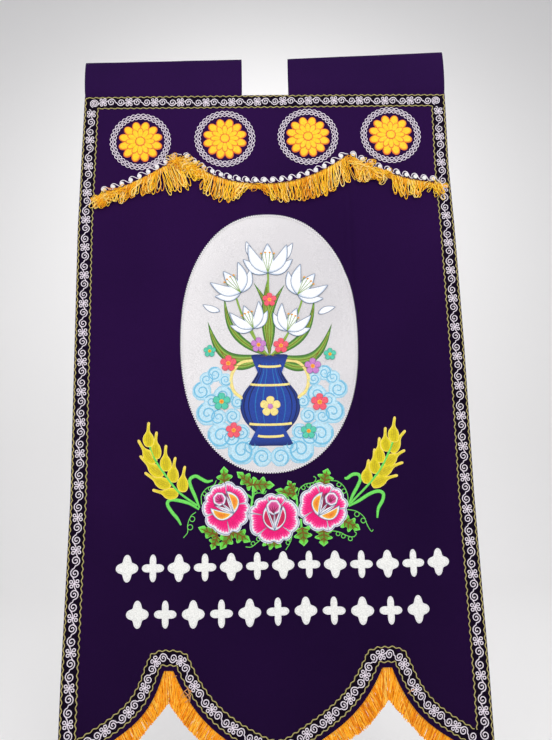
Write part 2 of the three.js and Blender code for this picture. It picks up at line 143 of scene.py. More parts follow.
def rampNode(tree, factor, stops):
    ramp = addNode(tree, "ShaderNodeValToRGB", {"Fac": factor})
    while len(ramp.color_ramp.elements) < len(stops):
        ramp.color_ramp.elements.new(0.5)
    for element, (place, colour) in zip(ramp.color_ramp.elements, stops):
        element.position = place
        element.color = linear(colour)
    return ramp.outputs["Color"]


def greyRamp(tree, factor, start, end, low):  # from a grey up to white
    return rampNode(tree, factor, [(start, (low, low, low)), (end, (255, 255, 255))])


def noiseNode(tree, scale):
    place = addNode(tree, "ShaderNodeTexCoord").outputs["Object"]
    noise = addNode(tree, "ShaderNodeTexNoise", {"Vector": place, "Scale": scale, "Detail": 2.0})
    return noise.outputs["Fac"]


def attributeNode(tree, name):
    return addNode(tree, "ShaderNodeAttribute", attribute_name=name).outputs["Fac"]


def mathNode(tree, operation, *values):
    return addNode(tree, "ShaderNodeMath", enumerate(values), operation=operation).outputs["Value"]


def addBump(tree, shader, height, distance, strength=1.0):
    bump = addNode(tree, "ShaderNodeBump", {
        "Distance": distance * mm, "Strength": strength, "Height": height,
    })
    tree.links.new(bump.outputs["Normal"], shader.inputs["Normal"])


def multiplied(tree, first, second):
    mix = addNode(tree, "ShaderNodeMix", {"Factor": 1.0, "A": first, "B": second}, data_type="RGBA",
                  blend_type="MULTIPLY")
    return mix.outputs["Result"]


# low and high: the heights in z over which the cloth's painted shade fades, darkest at low and gone at high.
weave = {
    "specular": 0.06, "patches": 2.2, "slubs": 900, "slubShade": 215, "uneven": 0.4,
    "low": -1.45, "high": -0.1,
}
stitching = {"specular": 0.25, "flecks": 420, "fleckShade": 222, "uneven": 1.2, "depth": 0.12}
spinning = {"specular": 0.2, "patches": 160, "twist": 1.6, "depth": 0.15, "strength": 0.6}


# low: the grey that the painted shade reaches towards the bottom; 255 paints none.
def weaveMaterial(name, dark, light, pitch=0.75, roughness=0.85, depth=0.05, low=255):
    material, tree, shader = newMaterial(name, roughness, weave["specular"])
    # Large noise patches: random tone on the other cloths, painted shade of soft crumples on the satin.
    patches = rampNode(tree, noiseNode(tree, weave["patches"]), [(0.36, dark), (0.66, light)])
    slubs = greyRamp(tree, noiseNode(tree, weave["slubs"]), 0.3, 0.7, weave["slubShade"])
    place = addNode(tree, "ShaderNodeTexCoord").outputs["Object"]
    # Painted shade: the colour darkens towards the bottom, down to the grey low.
    height = addNode(tree, "ShaderNodeMapRange", {
        "Value": addNode(tree, "ShaderNodeSeparateXYZ", {"Vector": place}).outputs["Z"],
        "From Min": weave["low"], "From Max": weave["high"], "To Min": 0.0, "To Max": 1.0,
    })
    paintedShade = greyRamp(tree, height.outputs["Result"], 0.0, 1.0, low)
    colour = multiplied(tree, multiplied(tree, patches, slubs), paintedShade)
    tree.links.new(colour, shader.inputs["Base Color"])
    bands = {"Vector": place, "Scale": 2 * math.pi / (20 * pitch * mm), "Distortion": weave["uneven"]}
    waves = [addNode(tree, "ShaderNodeTexWave", bands, bands_direction=axis).outputs["Fac"]
             for axis in ("X", "Z")]
    addBump(tree, shader, mathNode(tree, "ADD", *waves), depth)
    return material


def threadMaterial(name, colour, rim=None, roughness=0.42, stitch=0.9, rimShare=0.45, core=None):
    material, tree, shader = newMaterial(name, roughness, stitching["specular"])
    stops = [(0.0, rim or colour), (rimShare, colour), (1.0, core or colour)]
    flecks = greyRamp(tree, noiseNode(tree, stitching["flecks"]), 0.3, 0.7, stitching["fleckShade"])
    shown = multiplied(tree, rampNode(tree, attributeNode(tree, "inset"), stops), flecks)
    tree.links.new(shown, shader.inputs["Base Color"])
    wave = addNode(tree, "ShaderNodeTexWave", {
        "Vector": addNode(tree, "ShaderNodeUVMap", uv_map="thread").outputs["UV"],
        "Scale": 2 * math.pi / (20 * stitch), "Distortion": stitching["uneven"], "Detail": 1.0,
    })
    addBump(tree, shader, wave.outputs["Fac"], stitching["depth"])
    return material


def yarnMaterial(name, stops, roughness=0.4):
    material, tree, shader = newMaterial(name, roughness, spinning["specular"])
    shade = mathNode(tree, "MULTIPLY_ADD", attributeNode(tree, "shade"), 0.8, -0.15)
    shade = mathNode(tree, "MULTIPLY_ADD", noiseNode(tree, spinning["patches"]), 0.5, shade)
    tree.links.new(rampNode(tree, shade, stops), shader.inputs["Base Color"])
    phase = mathNode(tree, "MULTIPLY", attributeNode(tree, "around"), 4 * math.pi)
    twist = 2 * math.pi / (spinning["twist"] * mm)
    turns = mathNode(tree, "MULTIPLY_ADD", attributeNode(tree, "along"), twist, phase)
    addBump(tree, shader, mathNode(tree, "SINE", turns), spinning["depth"], spinning["strength"])
    return material


def flatYarn(name, dark, light):
    return yarnMaterial(name, [(0.25, dark), (0.6, light)], 0.42)


# The purple cloth gets painted shade, darker towards the bottom.
purpleWeave = weaveMaterial("purpleWeave", (33, 6, 56), (41, 10, 65), low=206)
sleeveWeave = weaveMaterial("sleeveWeave", (34, 9, 58), (43, 14, 67))
bandGround = weaveMaterial("bandGround", (13, 4, 21), (18, 7, 29), roughness=0.9)
# The satin's darker noise patches are painted shade standing in for soft crumples.
satinWeave = weaveMaterial("satinWeave", (210, 207, 210), (233, 230, 231), 0.5, 0.5, 0.04)
whiteThread = threadMaterial("whiteThread", (236, 236, 232), (205, 208, 214))
whitePad = threadMaterial("whitePad", (238, 238, 234), (216, 217, 219), roughness=0.5, stitch=1.1)
whiteCord = flatYarn("whiteCord", (226, 216, 226), (255, 250, 253))
khakiCord = flatYarn("khakiCord", (170, 158, 100), (222, 212, 158))
goldCord = flatYarn("goldCord", (196, 140, 40), (238, 190, 80))
# Random tone per loop, partly real yarn colour; the orange low stops are painted shadow of the tangles and
# the palest stop a painted highlight.
goldLoops = yarnMaterial(
    "goldLoops",
    [(0.05, (222, 128, 14)), (0.3, (250, 178, 24)), (0.62, (255, 210, 46)), (0.92, (255, 224, 146))],
)
# Random tone per strand, partly real yarn colour; the brown-orange low stop is painted shadow and the palest
# stop a painted highlight.
goldStrands = yarnMaterial(
    "goldStrands",
    [(0.05, (208, 108, 6)), (0.3, (248, 150, 12)), (0.62, (255, 180, 26)), (0.92, (255, 208, 92))],
)
yellowSatin = threadMaterial("yellowSatin", (253, 205, 30), (240, 128, 40), rimShare=0.5)
orangeSatin = threadMaterial("orangeSatin", (234, 108, 44))
roseWhite = threadMaterial("roseWhite", (240, 238, 244), (220, 222, 234))
roseMagenta = threadMaterial("roseMagenta", (238, 8, 116), (250, 50, 146), rimShare=0.5)
rosePink = threadMaterial("rosePink", (252, 96, 166), (255, 190, 220), rimShare=0.3)
roseBud = threadMaterial("roseBud", (214, 70, 140), (236, 160, 206), rimShare=0.6)
roseCrimson = threadMaterial("roseCrimson", (206, 28, 84), (240, 130, 160))
roseHeart = threadMaterial("roseHeart", (134, 16, 70), (160, 40, 96))
petalGold = threadMaterial("petalGold", (248, 186, 60), (255, 236, 130), rimShare=0.35, core=(236, 118, 32))
blueGrey = flatYarn("blueGrey", (92, 122, 150), (150, 180, 204))
leafGreen = threadMaterial("leafGreen", (104, 216, 70), (150, 250, 124), rimShare=0.4)
leafOlive = threadMaterial("leafOlive", (92, 150, 36), (110, 196, 60), rimShare=0.6)
leafVein = threadMaterial("leafVein", (122, 84, 6), (100, 68, 4))
stemGreen = threadMaterial("stemGreen", (112, 222, 92), (84, 190, 74), stitch=0.8)
stemCord = flatYarn("stemCord", (112, 208, 92), (166, 244, 136))
wheatYellow = threadMaterial("wheatYellow", (232, 214, 14), (250, 232, 110), rimShare=0.3,
                             core=(206, 186, 14))
wheatAwn = threadMaterial("wheatAwn", (244, 214, 104), (226, 190, 80))
wheatLine = flatYarn("wheatLine", (166, 150, 16), (206, 186, 36))
wheatEdge = flatYarn("wheatEdge", (236, 212, 100), (255, 244, 168))
skyBlue = threadMaterial("skyBlue", (134, 200, 228), (90, 172, 212))
skyCord = flatYarn("skyCord", (104, 184, 220), (158, 214, 238))
royalBlue = threadMaterial("royalBlue", (24, 62, 156), (12, 30, 92), rimShare=0.5)
midBlue = threadMaterial("midBlue", (34, 116, 184), (18, 70, 140), rimShare=0.5)
deepGreen = threadMaterial("deepGreen", (78, 132, 48), (46, 92, 36), rimShare=0.5)
softGreen = threadMaterial("softGreen", (140, 176, 70), (96, 136, 48), rimShare=0.5)
paleGold = threadMaterial("paleGold", (246, 226, 140), (232, 202, 100))
coralThread = threadMaterial("coralThread", (240, 92, 110), (214, 58, 84))
lilacThread = threadMaterial("lilacThread", (200, 130, 200), (150, 84, 156))
tealThread = threadMaterial("tealThread", (84, 200, 170), (40, 140, 124))
goldBraid = threadMaterial("goldBraid", (240, 170, 40), (206, 130, 30), stitch=1.3)
strayYarn = flatYarn("strayYarn", (204, 146, 96), (238, 186, 140))
whiteEdge = flatYarn("whiteEdge", (228, 226, 228), (250, 249, 250))
lilyWhite = threadMaterial("lilyWhite", (250, 251, 254), (142, 172, 206), rimShare=0.55)
darkBlue = threadMaterial("darkBlue", (10, 26, 84))
palestBlue = threadMaterial("palestBlue", (190, 224, 238), (126, 196, 226), rimShare=0.5)
greyLine = flatYarn("greyLine", (66, 88, 120), (110, 134, 164))
print("materials made")


# Geometry node trees

def newTree(name, sockets):
    tree = bpy.data.node_groups.new(name, "GeometryNodeTree")
    for label, kind in [("Geometry", "Geometry"), *sockets]:
        tree.interface.new_socket(label, in_out="INPUT", socket_type="NodeSocket" + kind)
    tree.interface.new_socket("Geometry", in_out="OUTPUT", socket_type="NodeSocketGeometry")
    return tree, tree.nodes.new("NodeGroupInput").outputs


def storeNode(tree, geometry, name, value, domain="POINT"):
    store = addNode(tree, "GeometryNodeStoreNamedAttribute", {
        "Geometry": geometry, "Name": name, "Value": value,
    }, data_type="FLOAT", domain=domain)
    return store.outputs["Geometry"]


def endTree(tree, geometry, material):
    finish = addNode(tree, "GeometryNodeSetMaterial", {"Geometry": geometry, "Material": material})
    addNode(tree, "NodeGroupOutput", {"Geometry": finish.outputs["Geometry"]})
    return tree


def endAsCord(tree, given, curve):  # a curve becomes a cord with its length and turn kept for the yarn
    resample = addNode(tree, "GeometryNodeResampleCurve", {
        "Curve": curve, "Length": given["Step"],
    }, mode="LENGTH")
    along = addNode(tree, "GeometryNodeSplineParameter").outputs["Length"]
    line = storeNode(tree, resample.outputs["Curve"], "along", along)
    circle = addNode(tree, "GeometryNodeCurvePrimitiveCircle", {
        "Resolution": given["Sides"], "Radius": given["Radius"],
    })
    around = addNode(tree, "GeometryNodeSplineParameter").outputs["Factor"]
    sweep = addNode(tree, "GeometryNodeCurveToMesh", {
        "Curve": line, "Profile Curve": storeNode(tree, circle.outputs["Curve"], "around", around),
        "Fill Caps": True,
    })
    return endTree(tree, sweep.outputs["Mesh"], given["Material"])


cordSockets = [("Step", "Float"), ("Radius", "Float"), ("Sides", "Int"), ("Material", "Material")]


def makeCordTree():
    tree, given = newTree("cordTree", [("Line", "Object"), *cordSockets])
    line = addNode(tree, "GeometryNodeObjectInfo", {"Object": given["Line"]})
    return endAsCord(tree, given, line.outputs["Geometry"])


def vectorNode(tree, operation, inputs):
    return addNode(tree, "ShaderNodeVectorMath", inputs, operation=operation).outputs["Vector"]


def makeRepeatTree():  # a motif repeated along a straight line and bent onto a path
    sockets = [("Motif", "Object"), ("Path", "Object"), ("Pitch", "Float"), ("Count", "Int"), *cordSockets]
    tree, given = newTree("repeatTree", sockets)
    offset = addNode(tree, "ShaderNodeCombineXYZ", {"X": given["Pitch"]}).outputs["Vector"]
    spots = addNode(tree, "GeometryNodeMeshLine", {"Offset": offset, "Count": given["Count"]}, mode="OFFSET")
    motif = addNode(tree, "GeometryNodeObjectInfo", {"Object": given["Motif"]})
    copies = addNode(tree, "GeometryNodeInstanceOnPoints", {
        "Points": spots.outputs["Mesh"], "Instance": motif.outputs["Geometry"],
    })
    realize = addNode(tree, "GeometryNodeRealizeInstances", {"Geometry": copies.outputs["Instances"]})
    path = addNode(tree, "GeometryNodeObjectInfo", {"Object": given["Path"]}).outputs["Geometry"]
    here = addNode(tree, "GeometryNodeInputPosition").outputs["Position"]
    place = addNode(tree, "ShaderNodeSeparateXYZ", {"Vector": here}).outputs
    sample = addNode(tree, "GeometryNodeSampleCurve", mode="LENGTH", use_all_curves=True)
    tree.links.new(path, sample.inputs["Curves"])
    tree.links.new(place["X"], sample.inputs["Length"])
    across = vectorNode(tree, "CROSS_PRODUCT", {0: sample.outputs["Tangent"], 1: (0, 1, 0)})
    side = vectorNode(tree, "SCALE", {0: across, "Scale": place["Z"]})
    depth = addNode(tree, "ShaderNodeCombineXYZ", {"Y": place["Y"]}).outputs["Vector"]
    beside = vectorNode(tree, "ADD", {0: sample.outputs["Position"], 1: side})
    bend = addNode(tree, "GeometryNodeSetPosition", {
        "Geometry": realize.outputs["Geometry"], "Position": vectorNode(tree, "ADD", {0: beside, 1: depth}),
    })
    return endAsCord(tree, given, bend.outputs["Geometry"])


def makeScatterTree():  # motifs of a collection on points that carry their own lean, lift and stretch
    sockets = [("Points", "Object"), ("Motifs", "Collection"), ("Seed", "Int"), ("Material", "Material")]
    tree, given = newTree("scatterTree", sockets)
    points = addNode(tree, "GeometryNodeObjectInfo", {"Object": given["Points"]})
    motifs = addNode(tree, "GeometryNodeCollectionInfo", {
        "Collection": given["Motifs"], "Separate Children": True, "Reset Children": True,
    })
    pick = addNode(tree, "FunctionNodeRandomValue", {4: 0, 5: 99, "Seed": given["Seed"]}, data_type="INT")
    kept = {}
    for name in ("lean", "lift", "spin", "stretch", "wide"):
        attribute = addNode(tree, "GeometryNodeInputNamedAttribute", {"Name": name}, data_type="FLOAT")
        kept[name] = attribute.outputs["Attribute"]
    turn = addNode(tree, "ShaderNodeCombineXYZ", {"X": kept["lift"], "Y": kept["lean"]})
    roll = addNode(tree, "ShaderNodeCombineXYZ", {"Z": kept["spin"]})
    size = addNode(tree, "ShaderNodeCombineXYZ", {"X": kept["wide"], "Y": kept["wide"], "Z": kept["stretch"]})
    leaned = addNode(tree, "FunctionNodeEulerToRotation", {0: turn.outputs["Vector"]}).outputs[0]
    rolled = addNode(tree, "FunctionNodeEulerToRotation", {0: roll.outputs["Vector"]}).outputs[0]
    both = addNode(tree, "FunctionNodeRotateRotation", {0: leaned, 1: rolled}, rotation_space="LOCAL")
    copies = addNode(tree, "GeometryNodeInstanceOnPoints", {
        "Points": points.outputs["Geometry"], "Instance": motifs.outputs["Instances"], "Pick Instance": True,
        "Instance Index": pick.outputs["Value"], "Rotation": both.outputs[0], "Scale": size.outputs["Vector"],
    })
    shade = addNode(tree, "FunctionNodeRandomValue", {"Seed": given["Seed"]}).outputs[1]
    shaded = storeNode(tree, copies.outputs["Instances"], "shade", shade, "INSTANCE")
    realize = addNode(tree, "GeometryNodeRealizeInstances", {"Geometry": shaded})
    return endTree(tree, realize.outputs["Geometry"], given["Material"])


cordTree = makeCordTree()
repeatTree = makeRepeatTree()
scatterTree = makeScatterTree()
helpers = []


# Meshes and curves, and what runs the trees on them

def meshPiece(name, points, faces=(), materials=()):
    mesh = bpy.data.meshes.new(name)
    mesh.from_pydata(points, [], faces)
    for material in materials:
        mesh.materials.append(material)
    piece = bpy.data.objects.new(name, mesh)
    scene.collection.objects.link(piece)
    return piece


def applyModifiers(piece):
    bpy.context.view_layer.update()
    shown = piece.evaluated_get(bpy.context.evaluated_depsgraph_get())
    made = bpy.data.meshes.new_from_object(shown)
    piece.modifiers.clear()
    start = piece.data
    piece.data = made
    bpy.data.meshes.remove(start)
    made.name = piece.name
    return piece


def runTree(name, tree, inputs):
    piece = meshPiece(name, [])
    modifier = piece.modifiers.new("nodes", "NODES")
    modifier.node_group = tree
    for item in tree.interface.items_tree:
        if item.in_out == "INPUT" and item.name in inputs:
            modifier[item.identifier] = inputs[item.name]
    return applyModifiers(piece)


def cordInputs(settings, material):
    return {
        "Step": settings["step"] * mm, "Radius": settings["radius"] * mm, "Sides": settings["sides"],
        "Material": material,
    }


def keepHelper(name, data):  # helpers are deleted when all pieces are made
    helper = bpy.data.objects.new(name, data)
    scene.collection.objects.link(helper)
    helpers.append(helper)
    return helper


def curveHelper(name, lines):  # lines of (x, z) or (x, z, lift), in millimetres
    data = bpy.data.curves.new(name, "CURVE")
    data.dimensions = "3D"
    for line in lines:
        spline = data.splines.new("POLY")
        spline.points.add(len(line) - 1)
        for point, (x, z, *lift) in zip(spline.points, line):
            point.co = (x * mm, -sum(lift) * mm, z * mm, 1)
    return keepHelper(name, data)


def makeCords(name, lines, settings, material):
    helper = curveHelper(name + "Line", lines)
    return runTree(name, cordTree, {"Line": helper, **cordInputs(settings, material)})


# Pieces made flat in the banner's plane, then laid on the folds

def drape(piece):
    mesh = piece.data
    flat = np.empty(len(mesh.vertices) * 3)
    mesh.vertices.foreach_get("co", flat)
    flat = flat.reshape(-1, 3)
    flat[:, 1] += foldAt(flat[:, 0] / mm, flat[:, 2] / mm) * mm
    flat[:, 2] += cloth["topEdge"] * mm
    mesh.vertices.foreach_set("co", flat.ravel())
    mesh.update()
    return piece


def finishPiece(piece, replaced=()):
    for polygon in piece.data.polygons:
        polygon.use_smooth = True
    piece.data.set_sharp_from_angle(angle=math.radians(50))
    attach(piece, "root")
    if replaced:
        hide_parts(*replaced)
    return piece


def sewOn(piece, replaced=()):
    return finishPiece(drape(piece), replaced)


def newWork():
    return {"points": [], "faces": [], "slots": [], "inset": [], "thread": []}


def signedArea(outline):
    total = 0
    for (ax, az), (bx, bz) in zip(outline, outline[1:] + outline[:1]):
        total += ax * bz - bx * az
    return total / 2


lowRings = [(1.0, 0.0, 0.0), (0.99, 0.6, 0.1), (0.95, 0.9, 0.3), (0.6, 1.0, 0.8)]
domeRings = [(1.0, 0.0, 0.0), (0.985, 0.5, 0.1), (0.93, 0.82, 0.25), (0.78, 0.96, 0.5), (0.45, 1.0, 0.8)]


def addPatch(work, outline, height, base, slot, turn=0.0, centre=None, rings=domeRings):
    outline = [tuple(p) for p in outline]
    if signedArea(outline) < 0:
        outline = outline[::-1]
    if centre is None:
        centre = tuple(np.mean(np.array(outline), axis=0))
    start = len(work["points"])
    count = len(outline)
    cosine, sine = math.cos(turn), math.sin(turn)

    def add(x, z, lift, inset):
        work["points"].append((x * mm, -lift * mm, z * mm))
        work["inset"].append(inset)
        dx, dz = x - centre[0], z - centre[1]
        work["thread"].append((dx * cosine + dz * sine, dz * cosine - dx * sine))

    for share, rise, inset in rings:
        for x, z in outline:
            add(centre[0] + (x - centre[0]) * share, centre[1] + (z - centre[1]) * share,
                base + height * rise, inset)
    add(centre[0], centre[1], base + height, 1.0)
    middle = len(work["points"]) - 1
    for ring in range(len(rings) - 1):
        a = start + ring * count
        b = a + count
        for k in range(count):
            n = (k + 1) % count
            work["faces"].append((a + k, a + n, b + n, b + k))
            work["slots"].append(slot)
    last = start + (len(rings) - 1) * count
    for k in range(count):
        work["faces"].append((last + k, last + (k + 1) % count, middle))
        work["slots"].append(slot)


def addRibbon(work, line, widths, height, base, slot):
    line = np.array(line, dtype=float)
    if np.isscalar(widths):
        widths = [widths] * len(line)
    step = np.gradient(line, axis=0)
    step /= np.maximum(np.linalg.norm(step, axis=1, keepdims=True), 1e-9)
    side = np.stack([-step[:, 1], step[:, 0]], axis=1)
    run = np.concatenate([[0], np.cumsum(np.linalg.norm(np.diff(line, axis=0), axis=1))])
    start = len(work["points"])
    section = [(-0.5, 0.0, 0.0), (-0.42, 0.6, 0.3), (0.0, 1.0, 1.0), (0.42, 0.6, 0.3), (0.5, 0.0, 0.0)]
    for k, (spot, normal) in enumerate(zip(line, side)):
        for share, rise, inset in section:
            x, z = spot + normal * share * widths[k]
            work["points"].append((x * mm, -(base + height * rise) * mm, z * mm))
            work["inset"].append(inset)
            work["thread"].append((run[k], share * widths[k]))
    for k in range(len(line) - 1):
        a = start + k * len(section)
        b = a + len(section)
        for j in range(len(section) - 1):
            work["faces"].append((a + j, b + j, b + j + 1, a + j + 1))
            work["slots"].append(slot)


def makeWork(name, work, materials):
    piece = meshPiece(name, work["points"], work["faces"], materials)
    mesh = piece.data
    mesh.polygons.foreach_set("material_index", work["slots"])
    mesh.attributes.new("inset", "FLOAT", "POINT").data.foreach_set("value", work["inset"])
    corners = np.empty(len(mesh.loops), dtype=int)
    mesh.loops.foreach_get("vertex_index", corners)
    layer = mesh.uv_layers.new(name="thread")
    layer.data.foreach_set("uv", np.array(work["thread"])[corners].ravel())
    mesh.update()
    return piece


def curvePoints(knots, count):  # a smooth line through a few knots
    knots = np.array(knots, dtype=float)
    padded = np.vstack([2 * knots[0] - knots[1], knots, 2 * knots[-1] - knots[-2]])
    made = []
    for t in np.linspace(0, len(knots) - 1, count):
        k = min(int(t), len(knots) - 2)
        u = t - k
        a, b, c, d = padded[k:k + 4]
        made.append(0.5 * (2 * b + (c - a) * u + (2 * a - 5 * b + 4 * c - d) * u * u
                           + (3 * b - a - 3 * c + d) * u ** 3))
    return [tuple(p) for p in made]


def polar(x, z, count, reach):
    spots = []
    for k in range(count):
        angle = 2 * math.pi * k / count
        rx, rz = reach(angle)
        spots.append((x + rx, z + rz))
    return spots


def disc(x, z, radius, count):
    return polar(x, z, count, lambda angle: (radius * math.cos(angle), radius * math.sin(angle)))


def spiralLine(x, z, size, turn, hand, turns=1.6, count=34):
    line = []
    for t in np.linspace(0, 1, count):
        reach = size * (1 - 0.86 * t)
        angle = math.radians(turn) + hand * 2 * math.pi * turns * t
        line.append((x + reach * math.cos(angle), z + reach * math.sin(angle)))
    return line


def runAndSide(root, tip):  # the way from root to tip, and the unit vector to its left
    root = np.array(root, dtype=float)
    run = np.array(tip, dtype=float) - root
    return root, run, np.array([-run[1], run[0]]) / np.linalg.norm(run)


def lifted(line, lift):
    return [(*spot, lift) for spot in line]


def closed(outline):  # an outline as a line that ends where it starts
    return outline + outline[:1]


# Cloth

clothSettings = {"columns": 110, "rows": 190, "notchStep": 3.0, "notchReach": 60, "left": -401, "wide": 803}


def clothColumns():  # evenly spread, with more beside the notches
    places = set(np.linspace(0, 1, clothSettings["columns"] + 1))
    for notch in hem["notches"]:
        for away in np.arange(0, clothSettings["notchReach"], clothSettings["notchStep"]):
            for x in (notch - hem["flatHalf"] - away, notch + hem["flatHalf"] + away):
                places.add((x - clothSettings["left"]) / clothSettings["wide"])
    spread = [0.0]
    for place in sorted(places):
        if place - spread[-1] > 0.0012:
            spread.append(place)
    spread[-1] = 1.0
    return spread


def makeCloth():
    columns = clothColumns()

    def across(z, column):
        return sideX(z, True) * (1 - column) + sideX(z, False) * column

    spots = []
    for row in np.linspace(0, 1, clothSettings["rows"] + 1):
        for column in columns:
            z = row * hemZ(across(hem["notchZ"], column))
            spots.append((across(z, column), z))
    xs, zs = np.array(spots).T
    middle = foldAt(xs, zs)
    points = []
    for depth in (-cloth["thick"] / 2, cloth["thick"] / 2):
        points += list(zip(xs * mm, (middle + depth) * mm, (zs + cloth["topEdge"]) * mm))
    wide = len(columns)
    deep = clothSettings["rows"] + 1
    back = wide * deep
    faces = []
    for j in range(deep - 1):
        for a in range(j * wide, j * wide + wide - 1):
            b = a + wide
            faces.append((a, b, b + 1, a + 1))
            faces.append((a + back, a + 1 + back, b + 1 + back, b + back))
    rim = [*range(wide), *range(2 * wide - 1, back, wide), *range(back - 2, back - wide - 1, -1)]
    rim += range(back - 2 * wide, 0, -wide)
    for a, b in zip(rim, closed(rim)[1:]):
        faces.append((a, b, b + back, a + back))
    piece = meshPiece("cloth_sheet", points, faces, [purpleWeave])
    return finishPiece(piece, ["banner_cloth"])


clothSheet = makeCloth()
print("cloth made")

# Pole sleeves

sleeve = {"height": 92, "tail": 16, "thick": 1.3, "seatY": 2.8, "columns": 70, "inner": 0.75}
sleeveEnds = [
    {"name": "left", "from": -401, "to": -54, "fromTop": 84.5, "toTop": 90.5},
    {"name": "right", "from": 49.5, "to": 399, "fromTop": 91, "toTop": 105},
]
sleeveRows = [
    (0.04, 0, 0), (0.16, 3.6, 4.2), (0.4, 6.6, 7.4), (0.66, 7.2, 8.0), (0.86, 5.6, 6.4), (0.96, 3, 3.4),
]


def makeSleeve(row):
    inner, height, tail = sleeve["inner"], sleeve["height"], sleeve["tail"]
    front = [(-inner, -tail), (-inner, 0), *[(-inner - near, height * up) for up, near, far in sleeveRows]]
    back = [*[(inner + far, height * up) for up, near, far in sleeveRows[::-1]], (inner, 0), (inner, -tail)]
    section = curvePoints([*front, (0.1, height - 0.7), *back], 64)
    points = []
    for share in np.linspace(0, 1, sleeve["columns"]):
        x = row["from"] + (row["to"] - row["from"]) * share
        stretch = (row["fromTop"] + (row["toTop"] - row["fromTop"]) * share) / height
        slack = 0.82 + 0.1 * math.sin(9 * share + row["from"]) + 0.08 * math.sin(21 * share)
        for y, z in section:
            bulge = sleeve["seatY"] + y * (slack if z > 4 else 1)
            points.append((x * mm, bulge * mm, (z * (stretch if z > 0 else 1) + cloth["topEdge"]) * mm))
    wide = len(section)
    faces = []
    for k in range(sleeve["columns"] - 1):
        for a in range(k * wide, k * wide + wide - 1):
            faces.append((a, a + wide, a + wide + 1, a + 1))
    piece = meshPiece("sleeve_cloth_" + row["name"], points, faces, [sleeveWeave])
    walls = piece.modifiers.new("walls", "SOLIDIFY")
    walls.thickness = sleeve["thick"] * mm
    walls.offset = 0
    finishPiece(applyModifiers(piece), ["sleeve_" + row["name"]])


for row in sleeveEnds:
    makeSleeve(row)
print("sleeves made")

# Border: a dark ground with scrolls between two wavy gold cords

border = {
    "margin": 3, "band": 27, "hemNear": 10, "hemFar": 36, "topMargin": 3,
    "wavePitch": 14, "wave": 1.3, "spiral": 8.8, "spiralFrom": 0.9, "spiralTurns": 1.7, "gap": 10.8,
    "ring": 2.7, "rings": [(-4.6, 5.4), (3.6, 6.2), (-3.6, -6.2), (4.6, -5.4)], "corner": 9.8,
}
scrollPitch = {"top": 58, "left": 61, "right": 61, "hem": 52}
scrollCord = {"radius": 0.98, "step": 1.3, "sides": 5}
waveCord = {"radius": 1.0, "step": 1.8, "sides": 5}
face = cloth["thick"] / 2  # how far the cloth's front stands before its middle


def hemLine(distance, left, right):  # the hem's edge moved up into the cloth, with mitred notch tops
    corner = hem["flatHalf"] + 0.6 * distance
    lobes = [(left, hem["notches"][0]), hem["notches"], (hem["notches"][1], right)]
    made = []
    for k, (start, end) in enumerate(lobes):
        first = left if k == 0 else max(left, start + corner + 0.02 * distance)
        last = right if k == 2 else min(right, end - corner - 0.02 * distance)
        lobe = []
        for x in np.arange(start - 40, end + 40, 3.0):
            slope = hemZ(x + 0.5) - hemZ(x - 0.5)
            tall = math.hypot(1, slope)
            spot = (x - slope / tall * distance, hemZ(x) + distance / tall)
            steep = spot[1] < hem["notchZ"] + distance - 2
            near = min(abs(x - notch) for notch in hem["notches"])
            if steep and near > hem["flatHalf"] and first < spot[0] < last:
                lobe.append(spot)
        made += sorted(lobe)
        if k < 2:
            made += [(end - corner, hem["notchZ"] + distance), (end + corner, hem["notchZ"] + distance)]
    return made


def roundLine(line):  # cuts the corners of a line
    cut = [line[0]]
    for (ax, az), (bx, bz) in zip(line, line[1:]):
        for share in (0.25, 0.75):
            cut.append((ax * (1 - share) + bx * share, az * (1 - share) + bz * share))
    return [*cut, line[-1]]


def lineLength(line):
    return sum(math.dist(a, b) for a, b in zip(line, line[1:]))


def sideLine(left, inset, top, bottom):
    sign = 1 if left else -1
    return [(sideX(z, left) + sign * inset, z) for z in np.linspace(top, bottom, 60)]


def scrollMotif(pitch):  # two spirals joined as an S, and four small rings tied by cords
    turns = 2 * math.pi * border["spiralTurns"]
    squeeze = pitch / scrollPitch["top"]
    half = []
    for angle in np.linspace(turns, 0, 48):
        reach = border["spiralFrom"] + (border["spiral"] - border["spiralFrom"]) * (1 - angle / turns) ** 0.85
        half.append((-border["gap"] + reach * math.cos(angle), reach * math.sin(angle)))
    spiral = half + [(-x, -z) for x, z in half[::-1][1:]]
    ties = [closed(disc(x, z, border["ring"], 12)) for x, z in border["rings"]]
    tails = [(-14, -5.2), (-9, -2.2), (-3.2, 0.2), (3.2, -0.2), (9, 2.2), (14, 5.2)]
    ties.append(curvePoints([(x * squeeze, z) for x, z in tails], 22))
    for x, z in ((-3.0, 3.6), (2.4, 4.2)):
        ties.append(curvePoints([(x, z), (0, 0), (-x, -z)], 7))
    spiral = [(x * squeeze + pitch / 2, z) for x, z in spiral]
    return [lifted(spiral, 0), *[lifted(tie, 0.25) for tie in ties]]


def waveMotif(pitch, height, count=12):
    return [[(pitch * t, height * math.sin(2 * math.pi * t), 0) for t in np.linspace(0, 1, count + 1)]]


def repeatAlong(name, path, motif, pitch, cord, material, lift, startAt=0.0):
    count = max(1, round(lineLength(path) / pitch))
    fitted = lineLength(path) / count
    stretched = [[((x / pitch + startAt) * fitted, *rest) for x, *rest in line] for line in motif]
    return runTree(name, repeatTree, {
        "Path": curveHelper(name + "Path", [lifted(path, lift)]),
        "Motif": curveHelper(name + "Motif", stretched),
        "Pitch": fitted * mm, "Count": count, **cordInputs(cord, material),
    })


